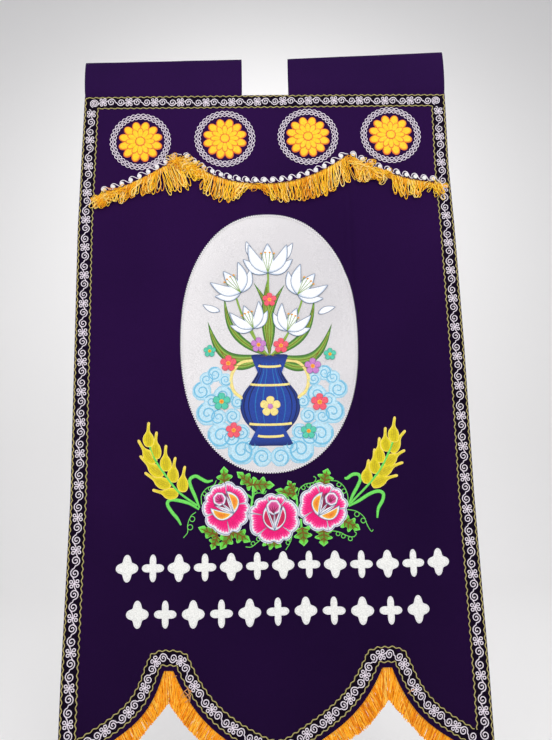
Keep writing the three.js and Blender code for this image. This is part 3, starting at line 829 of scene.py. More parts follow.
def makeBorder():
    near, far = border["margin"], border["margin"] + border["band"]
    middle = (near + far) / 2
    low = hemZ(sideX(-1300, True))
    top = -border["topMargin"]
    scrollRuns = {
        "top": [(x, top - border["band"] / 2 + 1.2 * math.sin(x / 70)) for x in np.linspace(-369, 367, 60)],
        "left": sideLine(True, middle, -33, low + 26),
        "right": sideLine(False, middle, -33, low + 26),
        "hem": roundLine(hemLine((border["hemNear"] + border["hemFar"]) / 2, -372, 372)),
    }
    ground = newWork()
    for run, line in scrollRuns.items():
        if run == "top":
            line = [(-398, line[0][1]), *line, (396, line[-1][1])]
        elif run != "hem":
            line = [(line[0][0], -8), *line]
        addRibbon(ground, line, border["band"] + 1.5, 0.12, face + 0.02, 0)
    corners = [spiralLine(x, -18, border["corner"], 250, -1, 2.6, 60)
               for x in (sideX(-15, True) + middle + 6, sideX(-15, False) - middle - 4)]
    corners = [lifted(line, face + 0.9) for line in corners]
    sewOn(makeCords("border_corner_spirals", corners, scrollCord, whiteCord))
    sewOn(makeWork("border_ground", ground, [bandGround]))
    for run, line in scrollRuns.items():
        pitch = scrollPitch[run]
        sewOn(repeatAlong("border_scroll_" + run, line, scrollMotif(pitch), pitch, scrollCord, whiteCord,
                          face + 0.9, 0.17))
    waveRuns = {
        "outer": roundLine([
            *sideLine(True, near, low + 6, -8), (sideX(0, True) + near, top),
            (sideX(0, False) - near, top), *sideLine(False, near, -8, low + 6),
        ]),
        "inner": [*sideLine(True, far, low + 44, top - border["band"]),
                  *sideLine(False, far, top - border["band"], low + 44)],
        "hem_outer": hemLine(border["hemNear"], -396, 396),
        "hem_inner": roundLine(hemLine(border["hemFar"], -368, 368)),
    }
    for run, line in waveRuns.items():
        sewOn(repeatAlong("border_wave_" + run, line, waveMotif(border["wavePitch"], border["wave"]),
                          border["wavePitch"], waveCord, khakiCord, face + 0.7))


makeBorder()
print("border made")

# Medallions: a white braided ring round a rosette of padded petals

medallions = [(-276, -110), (-92, -105), (90, -102), (272, -100)]
medallion = {
    "middle": 59.5, "row": 3.5, "swing": 3.0, "cell": 10.4, "petals": 12, "petalFrom": 12,
    "petalTo": 47.5, "petalWide": 20.5, "button": 11.5, "height": 1.3, "innerFrom": 8, "innerTo": 31,
    "innerWide": 13,
}
braidCord = {"radius": 0.82, "step": 1.5, "sides": 5}


def makeRing(number, x, z):
    path = closed(disc(x, z, medallion["middle"], 120))[::-1]
    pitch = 2 * medallion["cell"]
    strands = []
    for row, shift in ((medallion["row"], 0.0), (-medallion["row"], 0.25)):
        for sign in (-1, 1):
            strand = []
            for t in np.linspace(0, 1, 17):
                phase = 2 * math.pi * (t + shift)
                swing = sign * medallion["swing"] * math.sin(phase)
                strand.append((pitch * t, row + swing, 0.35 * sign * math.cos(phase)))
            strands.append(strand)
    piece = repeatAlong(f"medallion_braid_{number}", path, strands, pitch, braidCord, whiteCord, face + 0.9)
    sewOn(piece, [f"medallion_ring_{number}"])


def petalOutline(x, z, angle, start, end, wide, count=22):
    outline = []
    long = end - start
    for k in range(count):
        t = 2 * math.pi * k / count
        along = start + long * (0.5 - 0.5 * math.cos(t))
        swell = math.sin(t) * (0.6 + 0.4 * (along - start) / long)
        across = wide / 2 * swell
        outline.append((x + along * math.cos(angle) - across * math.sin(angle),
                        z + along * math.sin(angle) + across * math.cos(angle)))
    return outline


def makeRosette(number, x, z):
    work = newWork()
    start, end, wide = medallion["petalFrom"], medallion["petalTo"], medallion["petalWide"]
    for k in range(medallion["petals"]):
        angle = math.pi * (2 * k + 1) / medallion["petals"]
        back = petalOutline(x, z, angle, start - 1.5, end + 1.2, wide + 3.6)
        addPatch(work, back, 0.5, face, 1, angle + math.pi / 2)
        top = petalOutline(x, z, angle, start, end, wide)
        addPatch(work, top, medallion["height"], face + 0.4, 0, angle)
    start, end, wide = medallion["innerFrom"], medallion["innerTo"], medallion["innerWide"]
    for k in range(medallion["petals"]):
        angle = 2 * math.pi * k / medallion["petals"]
        addPatch(work, petalOutline(x, z, angle, start, end + 1.6, wide + 3), 0.5, face + 1.4, 1, angle)
        addPatch(work, petalOutline(x, z, angle, start, end, wide), 0.8, face + 1.7, 0, angle + math.pi / 2)
    for share, lift, slot in ((1.0, 2.0, 1), (0.84, 2.3, 0)):
        addPatch(work, disc(x, z, share * medallion["button"], 24), 0.9, face + lift, slot)
    piece = makeWork(f"medallion_petals_{number}", work, [yellowSatin, orangeSatin])
    sewOn(piece, [f"medallion_rosette_{number}"])


for number, (x, z) in enumerate(medallions, 1):
    makeRing(number, x, z)
    makeRosette(number, x, z)
print("medallions made")

# Valance: running scroll, thin gold cord and looped fringe

swags = [
    {"cusp": -187, "end": -402, "cuspZ": -135, "drop": 95, "power": 1.6},
    {"cusp": -187, "end": -7, "cuspZ": -135, "drop": 68, "power": 2.4},
    {"cusp": 176, "end": -7, "cuspZ": -138, "drop": 65, "power": 2.1},
    {"cusp": 176, "end": 402, "cuspZ": -138, "drop": 68, "power": 2.1},
]
valance = {"pitch": 20.0, "dot": 5.0, "dotHigh": 1.2, "headingTop": -11, "headingDeep": 9, "wavy": -8.5}
swagCord = {"radius": 1.0, "step": 1.4, "sides": 5}
thinCord = {"radius": 0.55, "step": 1.6, "sides": 5}
valanceRuns = [
    {"name": "left", "from": -379, "to": -188, "seed": 3},
    {"name": "centre", "from": -186, "to": 175, "seed": 5},
    {"name": "right", "from": 177, "to": 391, "seed": 8},
]
# The looped fringe as it lies: x of the root, lean of the loops in degrees, and where they end.
loopRows = [
    (-380, -6, -262), (-362, -16, -265), (-330, -24, -256), (-300, -18, -246), (-270, -12, -234),
    (-250, -8, -229), (-236, -14, -226), (-228, 26, -228), (-205, 22, -222), (-188, 16, -212),
    (-172, 12, -198), (-155, 18, -196), (-140, 10, -206), (-128, -12, -232), (-105, -4, -246),
    (-83, 0, -254), (-62, -14, -244), (-46, -38, -234), (-34, -58, -226), (-26, 58, -224),
    (-12, 38, -236), (4, 18, -250), (25, 6, -253), (50, 4, -250), (88, 3, -247), (120, 4, -238),
    (150, 6, -222), (166, 12, -208), (184, 12, -204), (206, 4, -208), (222, 12, -206), (229, 58, -188),
    (262, 60, -196), (270, 14, -236), (294, 0, -245), (325, -4, -246), (340, -24, -236),
    (350, -56, -216), (359, 36, -224), (374, 10, -250), (388, -2, -250),
]
loopBundle = {"pitch": 2.3, "wide": 8.5, "long": 40, "variants": 5, "messy": 7}
loopCord = {"radius": 0.72, "step": 2.6, "sides": 5}
# Loops thrown up over the heading: middle, spread and how many.
tossedLoops = [(-350, 20, 30), (-326, 16, 14), (-196, 14, 22), (-172, 20, 26), (-146, 14, 12), (190, 12, 10),
               (212, 12, 22), (228, 10, 22), (246, 12, 8), (360, 8, 10)]


def swagZ(x):
    swag = next(s for s in swags if (x - s["cusp"]) * (x - s["end"]) <= 0)
    share = abs((x - swag["cusp"]) / (swag["end"] - swag["cusp"]))
    return swag["cuspZ"] - swag["drop"] * (1 - (1 - share) ** swag["power"])


def swagLine(start, end, below=0.0, step=3.0):
    count = max(2, int((end - start) / step))
    return [(x, swagZ(x) + below) for x in np.linspace(start, end, count)]


def makeRunningScroll():
    hook = [(-4.8, -2.4), (-5.8, 0.8), (-4.2, 4.6), (-0.4, 6.4), (3.6, 5.2), (6.6, 2.0), (9.2, -2.0),
            (12.0, -4.8), (15.0, -5.8), (17.8, -4.8)]
    motif = [curvePoints(hook, 26)]
    dots = newWork()
    for run in valanceRuns:
        path = swagLine(max(run["from"], -362) + 4, min(run["to"], 374) - 2)
        sewOn(repeatAlong("running_scroll_" + run["name"], path, motif, valance["pitch"], swagCord, whiteCord,
                          face + 0.8, 0.35))
        count = round(lineLength(path) / valance["pitch"])
        for k in range(count):
            x = np.interp((k + 0.35) / count, np.linspace(0, 1, len(path)), [spot[0] for spot in path])
            addPatch(dots, disc(x, swagZ(x), valance["dot"], 16), valance["dotHigh"], face, 0)
    sewOn(makeWork("running_dots", dots, [whiteThread]))
    wavy = repeatAlong("valance_wave", swagLine(-362, 372, valance["wavy"]), waveMotif(7, 0.9, 8), 7,
                       thinCord, goldCord, face + 0.6)
    sewOn(wavy)


def motifCollection(name, lines, cord, material):
    made = bpy.data.collections.new(name)
    for k, line in enumerate(lines):
        piece = makeCords(f"{name}{k}", [line], cord, material)
        scene.collection.objects.unlink(piece)
        made.objects.link(piece)
        helpers.append(piece)
    return made


def loopLine(draw, wide, long):
    skew = draw.uniform(-0.35, 0.35) * wide
    cross = draw.choice((1, 1, -1)) * wide
    return curvePoints([
        (-0.28 * wide, 0, 0.2), (-0.34 * wide, -0.3 * long, 0.9), (-0.5 * cross, -0.72 * long, 1.4),
        (-0.36 * cross + skew, -0.95 * long, 1.2), (skew, -long, 1.0),
        (0.36 * cross + skew, -0.93 * long, 1.3), (0.5 * cross, -0.7 * long, 1.7),
        (0.34 * wide, -0.28 * long, 0.8), (0.28 * wide, 0, 0.2),
    ], 40)


def scatterMotifs(name, rows, motifs, seed, material):
    # each row: x, z, lift, then lean, lift angle, spin, stretch and width of its motif
    mesh = bpy.data.meshes.new(name + "Points")
    mesh.from_pydata([(row[0] * mm, -row[2] * mm, row[1] * mm) for row in rows], [], [])
    for k, key in enumerate(("lean", "lift", "spin", "stretch", "wide"), 3):
        mesh.attributes.new(key, "FLOAT", "POINT").data.foreach_set("value", [row[k] for row in rows])
    return runTree(name, scatterTree, {
        "Points": keepHelper(name + "Points", mesh), "Motifs": motifs, "Seed": seed, "Material": material,
    })


def hangingLoops(draw, run):
    roots, leans, ends = zip(*loopRows)
    path = swagLine(max(run["from"] + 3, -368), min(run["to"] - 3, 375), valance["headingTop"], 0.5)
    rows = []
    travelled = 0
    for a, (x, z) in zip(path, path[1:]):
        travelled += math.dist(a, (x, z))
        if travelled < loopBundle["pitch"]:
            continue
        travelled = 0
        lean = math.radians(np.interp(x, roots, leans))
        long = (z - np.interp(x, roots, ends)) / max(0.5, math.cos(lean))
        long += draw.uniform(-1, 1) * loopBundle["messy"]
        lean += draw.gauss(0, 0.12)
        rows.append((x, z + draw.uniform(-0.4, 0.4), face + draw.uniform(0.8, 4.2), -lean,
                     draw.uniform(-0.1, 0.02), draw.uniform(-0.5, 0.5), max(0.35, long / loopBundle["long"]),
                     draw.uniform(0.75, 1.25)))
    return rows


def tossedRows(draw, run):
    rows = []
    for middle, spread, count in tossedLoops:
        for _ in range(count if run["from"] < middle < run["to"] else 0):
            x = min(max(middle + draw.gauss(0, 0.45) * spread, run["from"] + 4), run["to"] - 4)
            lean = math.radians(draw.uniform(-150, 150))
            rows.append((x, swagZ(x) + valance["headingTop"] - draw.uniform(3, 13),
                         face + draw.uniform(3.5, 6.5), lean, draw.uniform(-0.15, 0.05),
                         draw.uniform(-0.8, 0.8), draw.uniform(0.35, 0.62), draw.uniform(0.8, 1.3)))
    return rows


def makeLoops():
    draw = random.Random(11)
    lines = [loopLine(draw, loopBundle["wide"] * draw.uniform(0.7, 1.25), loopBundle["long"])
             for _ in range(loopBundle["variants"])]
    motifs = motifCollection("loopMotifs", lines, loopCord, goldLoops)
    headingMiddle = valance["headingTop"] - valance["headingDeep"] / 2
    for run in valanceRuns:
        rows = hangingLoops(draw, run) + tossedRows(draw, run)
        piece = scatterMotifs("valance_loops_" + run["name"], rows, motifs, run["seed"], goldLoops)
        sewOn(piece, ["valance_fringe_" + run["name"]])
        heading = newWork()
        line = swagLine(run["from"], run["to"], headingMiddle)
        addRibbon(heading, line, valance["headingDeep"], 1.2, face + 0.1, 0)
        sewOn(makeWork("valance_heading_" + run["name"], heading, [goldBraid]))


makeRunningScroll()
makeLoops()
print("valance made")

# Hem fringe: cut strands from a strip behind the scalloped edge

hemFringe = {
    "pitch": 1.0, "layers": 3, "long": 38, "rootUp": 4, "deep": 32, "deeper": 8, "deeperReach": 70,
    "veeDrop": 55, "veeSlope": 1.15, "veeReach": 60, "uneven": 2.0, "lean": 0.55, "leanReach": 24,
    "stripDeep": 11, "stripThick": 2.2, "variants": 6, "layerStep": 1.1,
}
strandCord = {"radius": 0.78, "step": 8.0, "sides": 4}
hemRuns = [
    {"name": "left", "from": -400, "to": -203, "seed": 21},
    {"name": "centre", "from": -203, "to": 207, "seed": 22},
    {"name": "right", "from": 207, "to": 401, "seed": 23},
]


def strandLine(draw, long):
    sway = draw.uniform(-1.6, 1.6)
    return curvePoints([(0, 0, 0), (sway * 0.4, -0.3 * long, draw.uniform(-0.5, 0.5)),
                        (sway, -0.65 * long, draw.uniform(-1, 1)),
                        (sway * draw.uniform(-0.4, 1.6), -long, draw.uniform(-1.4, 1.4))], 9)


def fringeEnd(x):  # the fringe ends in a vee under each notch, and from there along the edge
    dx = abs(x - flankAt(x)[1])
    deeper = hemFringe["deeper"] * (1 - smoothStep(dx / hemFringe["deeperReach"]))
    below = hemZ(x) - hemFringe["deep"] - deeper
    vee = hem["notchZ"] - hemFringe["veeDrop"] - hemFringe["veeSlope"] * dx
    return vee + (below - vee) * smoothStep((dx - 30) / hemFringe["veeReach"])


def strandLength(x, lean):  # how far down a strand reaches from its root
    down = 12
    while hemZ(x) + hemFringe["rootUp"] - down > fringeEnd(x + lean * down):
        down += 1
    return down


def strandRows(draw, run):
    rows = []
    for layer in range(hemFringe["layers"]):
        travelled = draw.uniform(0, hemFringe["pitch"])
        for x in np.arange(run["from"] + 0.6, run["to"] - 0.6, 0.2):
            travelled += 0.2 * math.hypot(1, (hemZ(x + 0.2) - hemZ(x)) / 0.2)
            if travelled < hemFringe["pitch"]:
                continue
            travelled = 0
            notch = flankAt(x)[1]
            away = max(0, abs(x - notch) - hem["flatHalf"])
            slanted = smoothStep(away / hemFringe["leanReach"]) * smoothStep((hem["lobeHalf"] - away) / 60)
            lean = -math.copysign(1, x - notch) * hemFringe["lean"] * slanted + draw.gauss(0, 0.11)
            long = strandLength(x, lean) + draw.uniform(-1, 1) * hemFringe["uneven"]
            long *= math.hypot(1, lean) / hemFringe["long"]
            depth = -face - 0.9 - hemFringe["layerStep"] * layer + draw.uniform(-0.4, 0.1)
            rows.append((x, hemZ(x) + hemFringe["rootUp"], depth, -math.atan(lean),
                         draw.uniform(-0.04, 0.04), draw.uniform(0, 6.28), long, 1.0))
    return rows


def makeHemFringe():
    draw = random.Random(29)
    lines = [strandLine(draw, hemFringe["long"]) for _ in range(hemFringe["variants"])]
    motifs = motifCollection("strandMotifs", lines, strandCord, goldStrands)
    for run in hemRuns:
        rows = strandRows(draw, run)
        piece = scatterMotifs("hem_strands_" + run["name"], rows, motifs, run["seed"], goldStrands)
        sewOn(piece, ["hem_fringe_" + run["name"]])
        strip = newWork()
        line = [(x, hemZ(x) + hemFringe["stripDeep"] / 2) for x in np.arange(run["from"], run["to"] + 1, 2.5)]
        addRibbon(strip, line, hemFringe["stripDeep"], -hemFringe["stripThick"], -face - 0.2, 0)
        strip["faces"] = [corners[::-1] for corners in strip["faces"]]
        sewOn(makeWork("hem_heading_" + run["name"], strip, [goldBraid]))


# Pale threads that fell onto the border beside the notches: ends and a bend.
strays = [
    ((-194, -1198), (-187, -1195), 0.5), ((-179, -1230), (-164, -1216), 1.5),
    ((-171, -1241), (-160, -1228), -1.5), ((-165, -1217), (-162, -1239), 2.0),
    ((-172, -1222), (-163, -1232), 1.0), ((-168, -1214), (-158, -1222), -1.0),
    ((-176, -1232), (-160, -1222), -2.0), ((243, -1234), (256, -1228), 1.0),
]


def makeStrays():
    lines = []
    for start, end, bend in strays:
        root, run, side = runAndSide(start, end)
        lines.append(lifted(curvePoints([root, root + run / 2 + side * bend, end], 14), face + 2.2))
    cord = {"radius": 0.8, "step": 2.5, "sides": 5}
    sewOn(makeCords("stray_threads", lines, cord, strayYarn))


makeHemFringe()
makeStrays()
print("hem fringe made")

# Oval panel: white satin with an overcast edge

oval = {
    "x": -3, "z": -554.5, "halfWide": 179.5, "halfTall": 269.5, "fullness": 2.2, "thick": 1.0, "rings": 40,
    "spokes": 120,
}
ovalStitch = {"pitch": 5.1, "radius": 1.1, "step": 1.2, "sides": 5}


def ovalSpot(angle, share=1.0):
    power = 2 / oval["fullness"]
    cosine, sine = math.cos(angle), math.sin(angle)
    x = oval["halfWide"] * share * math.copysign(abs(cosine) ** power, cosine)
    z = oval["halfTall"] * share * math.copysign(abs(sine) ** power, sine)
    return oval["x"] + x, oval["z"] + z


def makeOval():
    rings, spokes = oval["rings"], oval["spokes"]
    points, faces = [], []
    for lift in (face + 0.05 + oval["thick"], face + 0.05):
        points.append((oval["x"] * mm, -lift * mm, oval["z"] * mm))
        for share in np.linspace(0, 1, rings + 1)[1:]:
            spots = [ovalSpot(2 * math.pi * k / spokes, share) for k in range(spokes)]
            points += [(x * mm, -lift * mm, z * mm) for x, z in spots]
    layer = 1 + rings * spokes
    for first in (0, layer):
        turned = []
        for k in range(spokes):
            n = (k + 1) % spokes
            turned.append((first, first + 1 + k, first + 1 + n))
            for a in range(first + 1, first + layer - spokes, spokes):
                b = a + spokes
                turned.append((a + k, b + k, b + n, a + n))
        faces += [corners[::-1] for corners in turned] if first else turned
    for k in range(spokes):
        a = layer - spokes + k
        b = layer - spokes + (k + 1) % spokes
        faces.append((a, a + layer, b + layer, b))
    piece = meshPiece("oval_satin", points, faces, [satinWeave])
    sewOn(piece, ["oval_panel"])


def makeOvalEdge():  # small stitches wrapped over the satin's edge
    path = [ovalSpot(angle) for angle in np.linspace(0, -2 * math.pi, 241)]
    long = ovalStitch["pitch"]
    over = [(0, -2.2, 1.5), (1.2, 0.3, 1.4), (2.3, 2.5, 0.3), (2.8, 2.5, 0.3), (3.9, 0.3, 1.4),
            (long, -2.2, 1.5)]
    piece = repeatAlong("oval_edge_stitches", path, [over], long, ovalStitch, whiteEdge, face + 0.3)
    sewOn(piece)


makeOval()
makeOvalEdge()
print("oval made")

# Vase of lilies on the oval; x and z from the oval's centre

vaseProfile = [
    (0, -218), (40, -218), (43, -212), (32, -205), (25, -196), (38, -184), (54, -164), (61, -138),
    (54, -112), (36, -88), (24, -66), (26, -50), (37, -38), (33, -32), (0, -32),
]
vaseBands = [(-96, 40, 5), (-176, 43, 5), (-58, 23, 5), (-200, 26, 5)]
# Lilies: x, z, size and the way each opens, in degrees.
lilies = [(0, 168, 62, 90), (-72, 118, 56, 128), (76, 112, 56, 50), (-40, 42, 50, 112), (46, 36, 50, 66)]
buds = [(-36, 190, 112, 34), (44, 186, 66, 34), (-116, 66, 158, 32), (118, 58, 20, 32)]
# Long leaves: root, tip, width and bend.
vaseLeaves = [
    ((-6, -34), (-126, 38), 21, 0.30), ((6, -34), (130, 30), 21, -0.30), ((-4, -34), (-112, 0), 18, 0.34),
    ((4, -34), (114, -8), 18, -0.34), ((-2, -30), (-30, 120), 17, -0.12), ((2, -30), (34, 116), 17, 0.12),
    ((-4, -34), (-92, 92), 16, 0.18), ((4, -34), (96, 88), 16, -0.18), ((0, -30), (0, 134), 15, 0.05),
]
# Blossoms: x, z, size and the slot of their petals.
blossoms = [
    (-84, -50, 17, 3), (88, -58, 17, 4), (-22, -12, 16, 4), (24, -14, 16, 3), (-122, -24, 13, 5),
    (124, -34, 13, 5), (-98, -128, 18, 5), (100, -132, 18, 3), (-74, -186, 16, 3), (76, -190, 16, 5),
    (2, 84, 15, 3), (0, -139, 21, 6),
]
# Scrolls beside the vase, made on both sides: x, z, size, turn and hand.
scrolls = [
    (-80, -200, 17, 20, -1), (-105, -160, 15, 90, 1), (-118, -127, 14, 150, -1), (-58, -190, 14, 220, 1),
    (-40, -218, 14, 280, -1), (-128, -82, 13, 60, -1), (-66, -130, 12, 120, 1), (-90, -84, 12, 0, -1),
    (-58, -226, 25, 200, 1), (-100, -196, 24, 160, 1), (-126, -152, 21, 120, 1), (-138, -106, 17, 100, 1),
    (-18, -240, 17, 240, -1), (-94, -116, 18, 60, -1), (-76, -158, 14, 300, -1), (-112, -72, 14, 70, 1),
]
outlineCord = {"radius": 0.5, "step": 3.0, "sides": 4}


def leafOutline(root, tip, wide, bend=0.0):
    root, run, side = runAndSide(root, tip)
    left, right = [], []
    for t in np.linspace(0, 1, 27):
        half = side * wide / 2 * math.sin(math.pi * t ** 0.8) ** 0.85
        spot = root + run * t + side * bend * np.linalg.norm(run) * math.sin(math.pi * t)
        left.append(tuple(spot + half))
        right.append(tuple(spot - half))
    return left + right[::-1][1:-1]


def leafSpine(root, tip, bend, start=0.0, end=1.0, count=14):
    root, run, side = runAndSide(root, tip)
    bow = side * np.linalg.norm(run) * bend
    return [tuple(root + run * t + bow * math.sin(math.pi * t)) for t in np.linspace(start, end, count)]


def addLongLeaf(work, root, tip, wide, bend, base, slots):  # a long leaf in bands along its spine
    spine = leafSpine(root, tip, bend, count=22)
    swell = [max(0.5, wide * math.sin(math.pi * min(1, t) ** 0.75) ** 0.9) for t in np.linspace(0, 1, 22)]
    addRibbon(work, spine, swell, 0.6, base, slots[0])
    addRibbon(work, spine[1:-2], [w * 0.52 for w in swell[1:-2]], 0.5, base + 0.35, slots[1])
    addRibbon(work, spine[:-3], 1.3, 0.4, base + 0.75, slots[2])


def addBlossom(work, x, z, size, base, petalSlot, heartSlot):
    for k in range(5):
        angle = 2 * math.pi * k / 5 + 0.3
        outline = petalOutline(x, z, angle, size * 0.16, size, size * 0.95, 16)
        addPatch(work, outline, 0.7, base, petalSlot, angle)
    addPatch(work, disc(x, z, size * 0.27, 12), 0.8, base + 0.4, heartSlot)


def beyond(spot, angle, reach):
    return spot[0] + reach * math.cos(angle), spot[1] + reach * math.sin(angle)


def addLily(work, lines, x, z, size, turn, base):
    root = beyond((x, z), turn, -0.42 * size)
    back = [(-1.05, 0.78, 0.3), (1.05, 0.78, 0.3), (0.0, 0.74, 0.3)]
    front = [(-0.58, 0.96, 0.33), (0.58, 0.96, 0.33), (0.0, 0.84, 0.36)]
    for lift, rows in ((base, back), (base + 0.5, front)):
        for lean, reach, wide in rows:
            tip = beyond(root, turn + lean, reach * size * 1.25)
            outline = leafOutline(root, tip, wide * size * 1.15, 0.1 * np.sign(lean))
            addPatch(work, outline, 0.8, lift, 0, turn + lean + math.pi / 2)
            lines.append(lifted(closed(outline), lift + 0.25))
    for lean in (-0.3, -0.1, 0.12, 0.32):
        tip = beyond(root, turn + lean, size * 0.72)
        addRibbon(work, [root, tip], 1.2, 0.4, base + 1.4, 1)
        addPatch(work, polar(*tip, 8, lambda a: (2.6 * math.cos(a), 1.7 * math.sin(a))), 0.7, base + 1.4, 2)


def ovalPlace(spot):
    return spot[0] + oval["x"], spot[1] + oval["z"]


def addScroll(work, lines, side, row, base):
    x, z, size, turn, hand = row

    def puffed(angle):
        reach = size * (1.1 + 0.05 * abs(math.sin(4 * angle)))
        return reach * math.cos(angle), reach * math.sin(angle)

    addPatch(work, [ovalPlace((side * px, pz)) for px, pz in polar(x, z, 32, puffed)], 0.5, base, 7)
    line = [ovalPlace((side * px, pz)) for px, pz in spiralLine(x, z, size, turn, hand)]
    widths = [size * 0.2 * (1 - 0.5 * k / len(line)) for k in range(len(line))]
    addRibbon(work, line, widths, 0.5, base + 0.4, 0)
    lines.append(lifted(line, base + 0.8))


def addVase(work, base):
    half = curvePoints(vaseProfile, 60)
    outline = [ovalPlace(spot) for spot in half] + [ovalPlace((-x, z)) for x, z in half[::-1][1:-1]]
    addPatch(work, outline, 1.6, base, 4, math.pi / 2, ovalPlace((0, -132)))
    for z, reach, deep in vaseBands:
        band = [ovalPlace((reach * math.sin(a), z + 3 * (1 - math.cos(a))))
                for a in np.linspace(-1.45, 1.45, 14)]
        addRibbon(work, band, deep, 0.5, base + 1.5, 6)
    swell = [0.8 + 1.6 * math.sin(math.pi * k / 25) for k in range(26)]
    for sign in (-1, 1):
        for share, slot in ((0.25, 5), (0.5, 5), (0.72, 8), (0.88, 8)):
            flute = [ovalPlace((sign * share * x, z)) for x, z in curvePoints(vaseProfile[5:12], 26)]
            addRibbon(work, flute, swell, 0.4, base + 1.4, slot)
        handle = [(sign * x, z) for x, z in ((30, -44), (60, -50), (78, -76), (74, -106), (54, -124))]
        addRibbon(work, [ovalPlace(spot) for spot in curvePoints(handle, 24)], 6.5, 0.9, base + 0.2, 6)


def makeOvalDesign():
    base = face + 0.05 + oval["thick"]
    work, bloom = newWork(), newWork()
    scrollLines, outlines = [], []
    for side in (1, -1):
        for row in scrolls:
            addScroll(work, scrollLines, side, row, base)
    for root, tip, wide, bend in vaseLeaves:
        addLongLeaf(work, ovalPlace(root), ovalPlace(tip), wide, bend, base, (1, 2, 3))
    for x, z, size, turn in lilies:
        stem = leafSpine(ovalPlace((x * 0.08, -34)), ovalPlace((x, z - 10)), -0.06 * np.sign(x))
        addRibbon(work, stem, 4, 0.6, base + 0.5, 2)
    addVase(work, base)
    threads = [skyBlue, deepGreen, softGreen, leafVein, royalBlue, midBlue, paleGold, palestBlue, darkBlue]
    sewOn(makeWork("oval_vase", work, threads))
    for x, z, turn, size in buds:
        angle = math.radians(turn)
        spot = ovalPlace((x, z))
        root, tip = beyond(spot, angle, -0.5 * size), beyond(spot, angle, 0.7 * size)
        outline = leafOutline(root, tip, size * 0.42, 0.05)
        addPatch(bloom, outline, 0.9, base + 0.2, 0, angle)
        outlines.append(lifted(closed(outline), base + 0.6))
    for x, z, size, turn in lilies[::-1]:
        addLily(bloom, outlines, *ovalPlace((x, z)), size, math.radians(turn), base + 1.0)
    for x, z, size, slot in blossoms:
        addBlossom(bloom, *ovalPlace((x, z)), size, base + 1.7, slot, 4 if slot == 6 else 2)
    threads = [lilyWhite, softGreen, petalGold, coralThread, lilacThread, tealThread, paleGold]
    sewOn(makeWork("oval_blossoms", bloom, threads))
    sewOn(makeCords("oval_outlines", outlines, outlineCord, greyLine))
    sewOn(makeCords("oval_scroll_lines", scrollLines, outlineCord, skyCord))


makeOvalDesign()
print("oval design made")

# Roses, leaves, tendrils and grass under the oval

roses = [
    {"name": "left", "x": -93, "z": -892, "wide": 95, "tall": 104, "turn": 0.2,
     "splits": [92, 12, -80, -163]},
    {"name": "centre", "x": 0, "z": -914, "wide": 104, "tall": 98, "turn": 0.5,
     "splits": [108, 58, -40, -135, 165]},
    {"name": "right", "x": 97, "z": -894, "wide": 100, "tall": 96, "turn": 0.9,
     "splits": [104, 62, -4, -79, -153]},
]
rose = {
    "scallops": 10, "scallop": 0.1, "cord": 0.95, "pink": (0.9, 0.83), "magenta": (0.85, 0.72), "teeth": 46,
    "lift": 0.8, "heart": 1.16,
}
roseCord = {"radius": 0.55, "step": 1.6, "sides": 5}
# Lobed leaves: base, tip and width.
leaves = [
    ((-95, -849), (-97, -811), 31), ((-41, -849), (-72, -822), 27), ((-40, -848), (3, -850), 31),
    ((100, -850), (109, -819), 32), ((44, -868), (3, -859), 23), ((41, -862), (29, -841), 20),
    ((137, -921), (168, -938), 29), ((55, -932), (58, -968), 35), ((97, -938), (96, -969), 34),
    ((-109, -942), (-148, -927), 27), ((-110, -944), (-122, -970), 24), ((-82, -936), (-105, -970), 28),
    ((-80, -936), (-46, -957), 29), ((-16, -952), (14, -968), 30),
]
roseStems = [
    [(-41, -849), (-40, -862), (-42, -878), (-45, -896)], [(43, -866), (46, -879), (46, -897)],
    [(53, -916), (54, -934)], [(-54, -866), (-43, -874), (-42, -884)], [(96, -842), (97, -862)],
]
# Curly threads: the knots of each, where its loops sit, on which side, and their size.
tendrils = [
    {"line": [(-141, -884), (-141, -866), (-131, -853), (-117, -847), (-112, -838)],
     "loops": [0.34, 0.6], "hand": -1, "size": 3.8},
    {"line": [(48, -872), (52, -858), (64, -849), (80, -846), (85, -838), (80, -834)],
     "loops": [0.3, 0.46, 0.62], "hand": -1, "size": 3.8},
    {"line": [(114, -843), (128, -845), (140, -856), (146, -872), (146, -886)],
     "loops": [0.34, 0.6], "hand": -1, "size": 4.2},
    {"line": [(144, -899), (162, -903), (176, -914), (182, -930), (189, -941), (193, -938)],
     "loops": [0.24, 0.46], "hand": -1, "size": 4.6},
    {"line": [(112, -939), (128, -942), (142, -949), (154, -951), (160, -945), (156, -941)],
     "loops": [0.16, 0.32, 0.5], "hand": -1, "size": 3.8},
    {"line": [(32, -938), (34, -950), (30, -962), (22, -974)],
     "loops": [0.4, 0.66], "hand": -1, "size": 3.8},
    {"line": [(-18, -948), (-30, -956), (-44, -966), (-56, -966)],
     "loops": [0.3, 0.55], "hand": -1, "size": 3.8},
    {"line": [(-42, -876), (-36, -866), (-26, -864), (-18, -866), (-14, -860)],
     "loops": [0.3], "hand": 1, "size": 3.2},
    {"line": [(-152, -898), (-162, -906), (-168, -922), (-168, -936), (-176, -946)],
     "loops": [0.3, 0.58], "hand": 1, "size": 5.0},
    {"line": [(4, -868), (16, -865), (28, -873), (34, -886)],
     "loops": [0.35, 0.66], "hand": -1, "size": 3.6},
]
tendrilCord = {"radius": 0.85, "step": 1.4, "sides": 5}
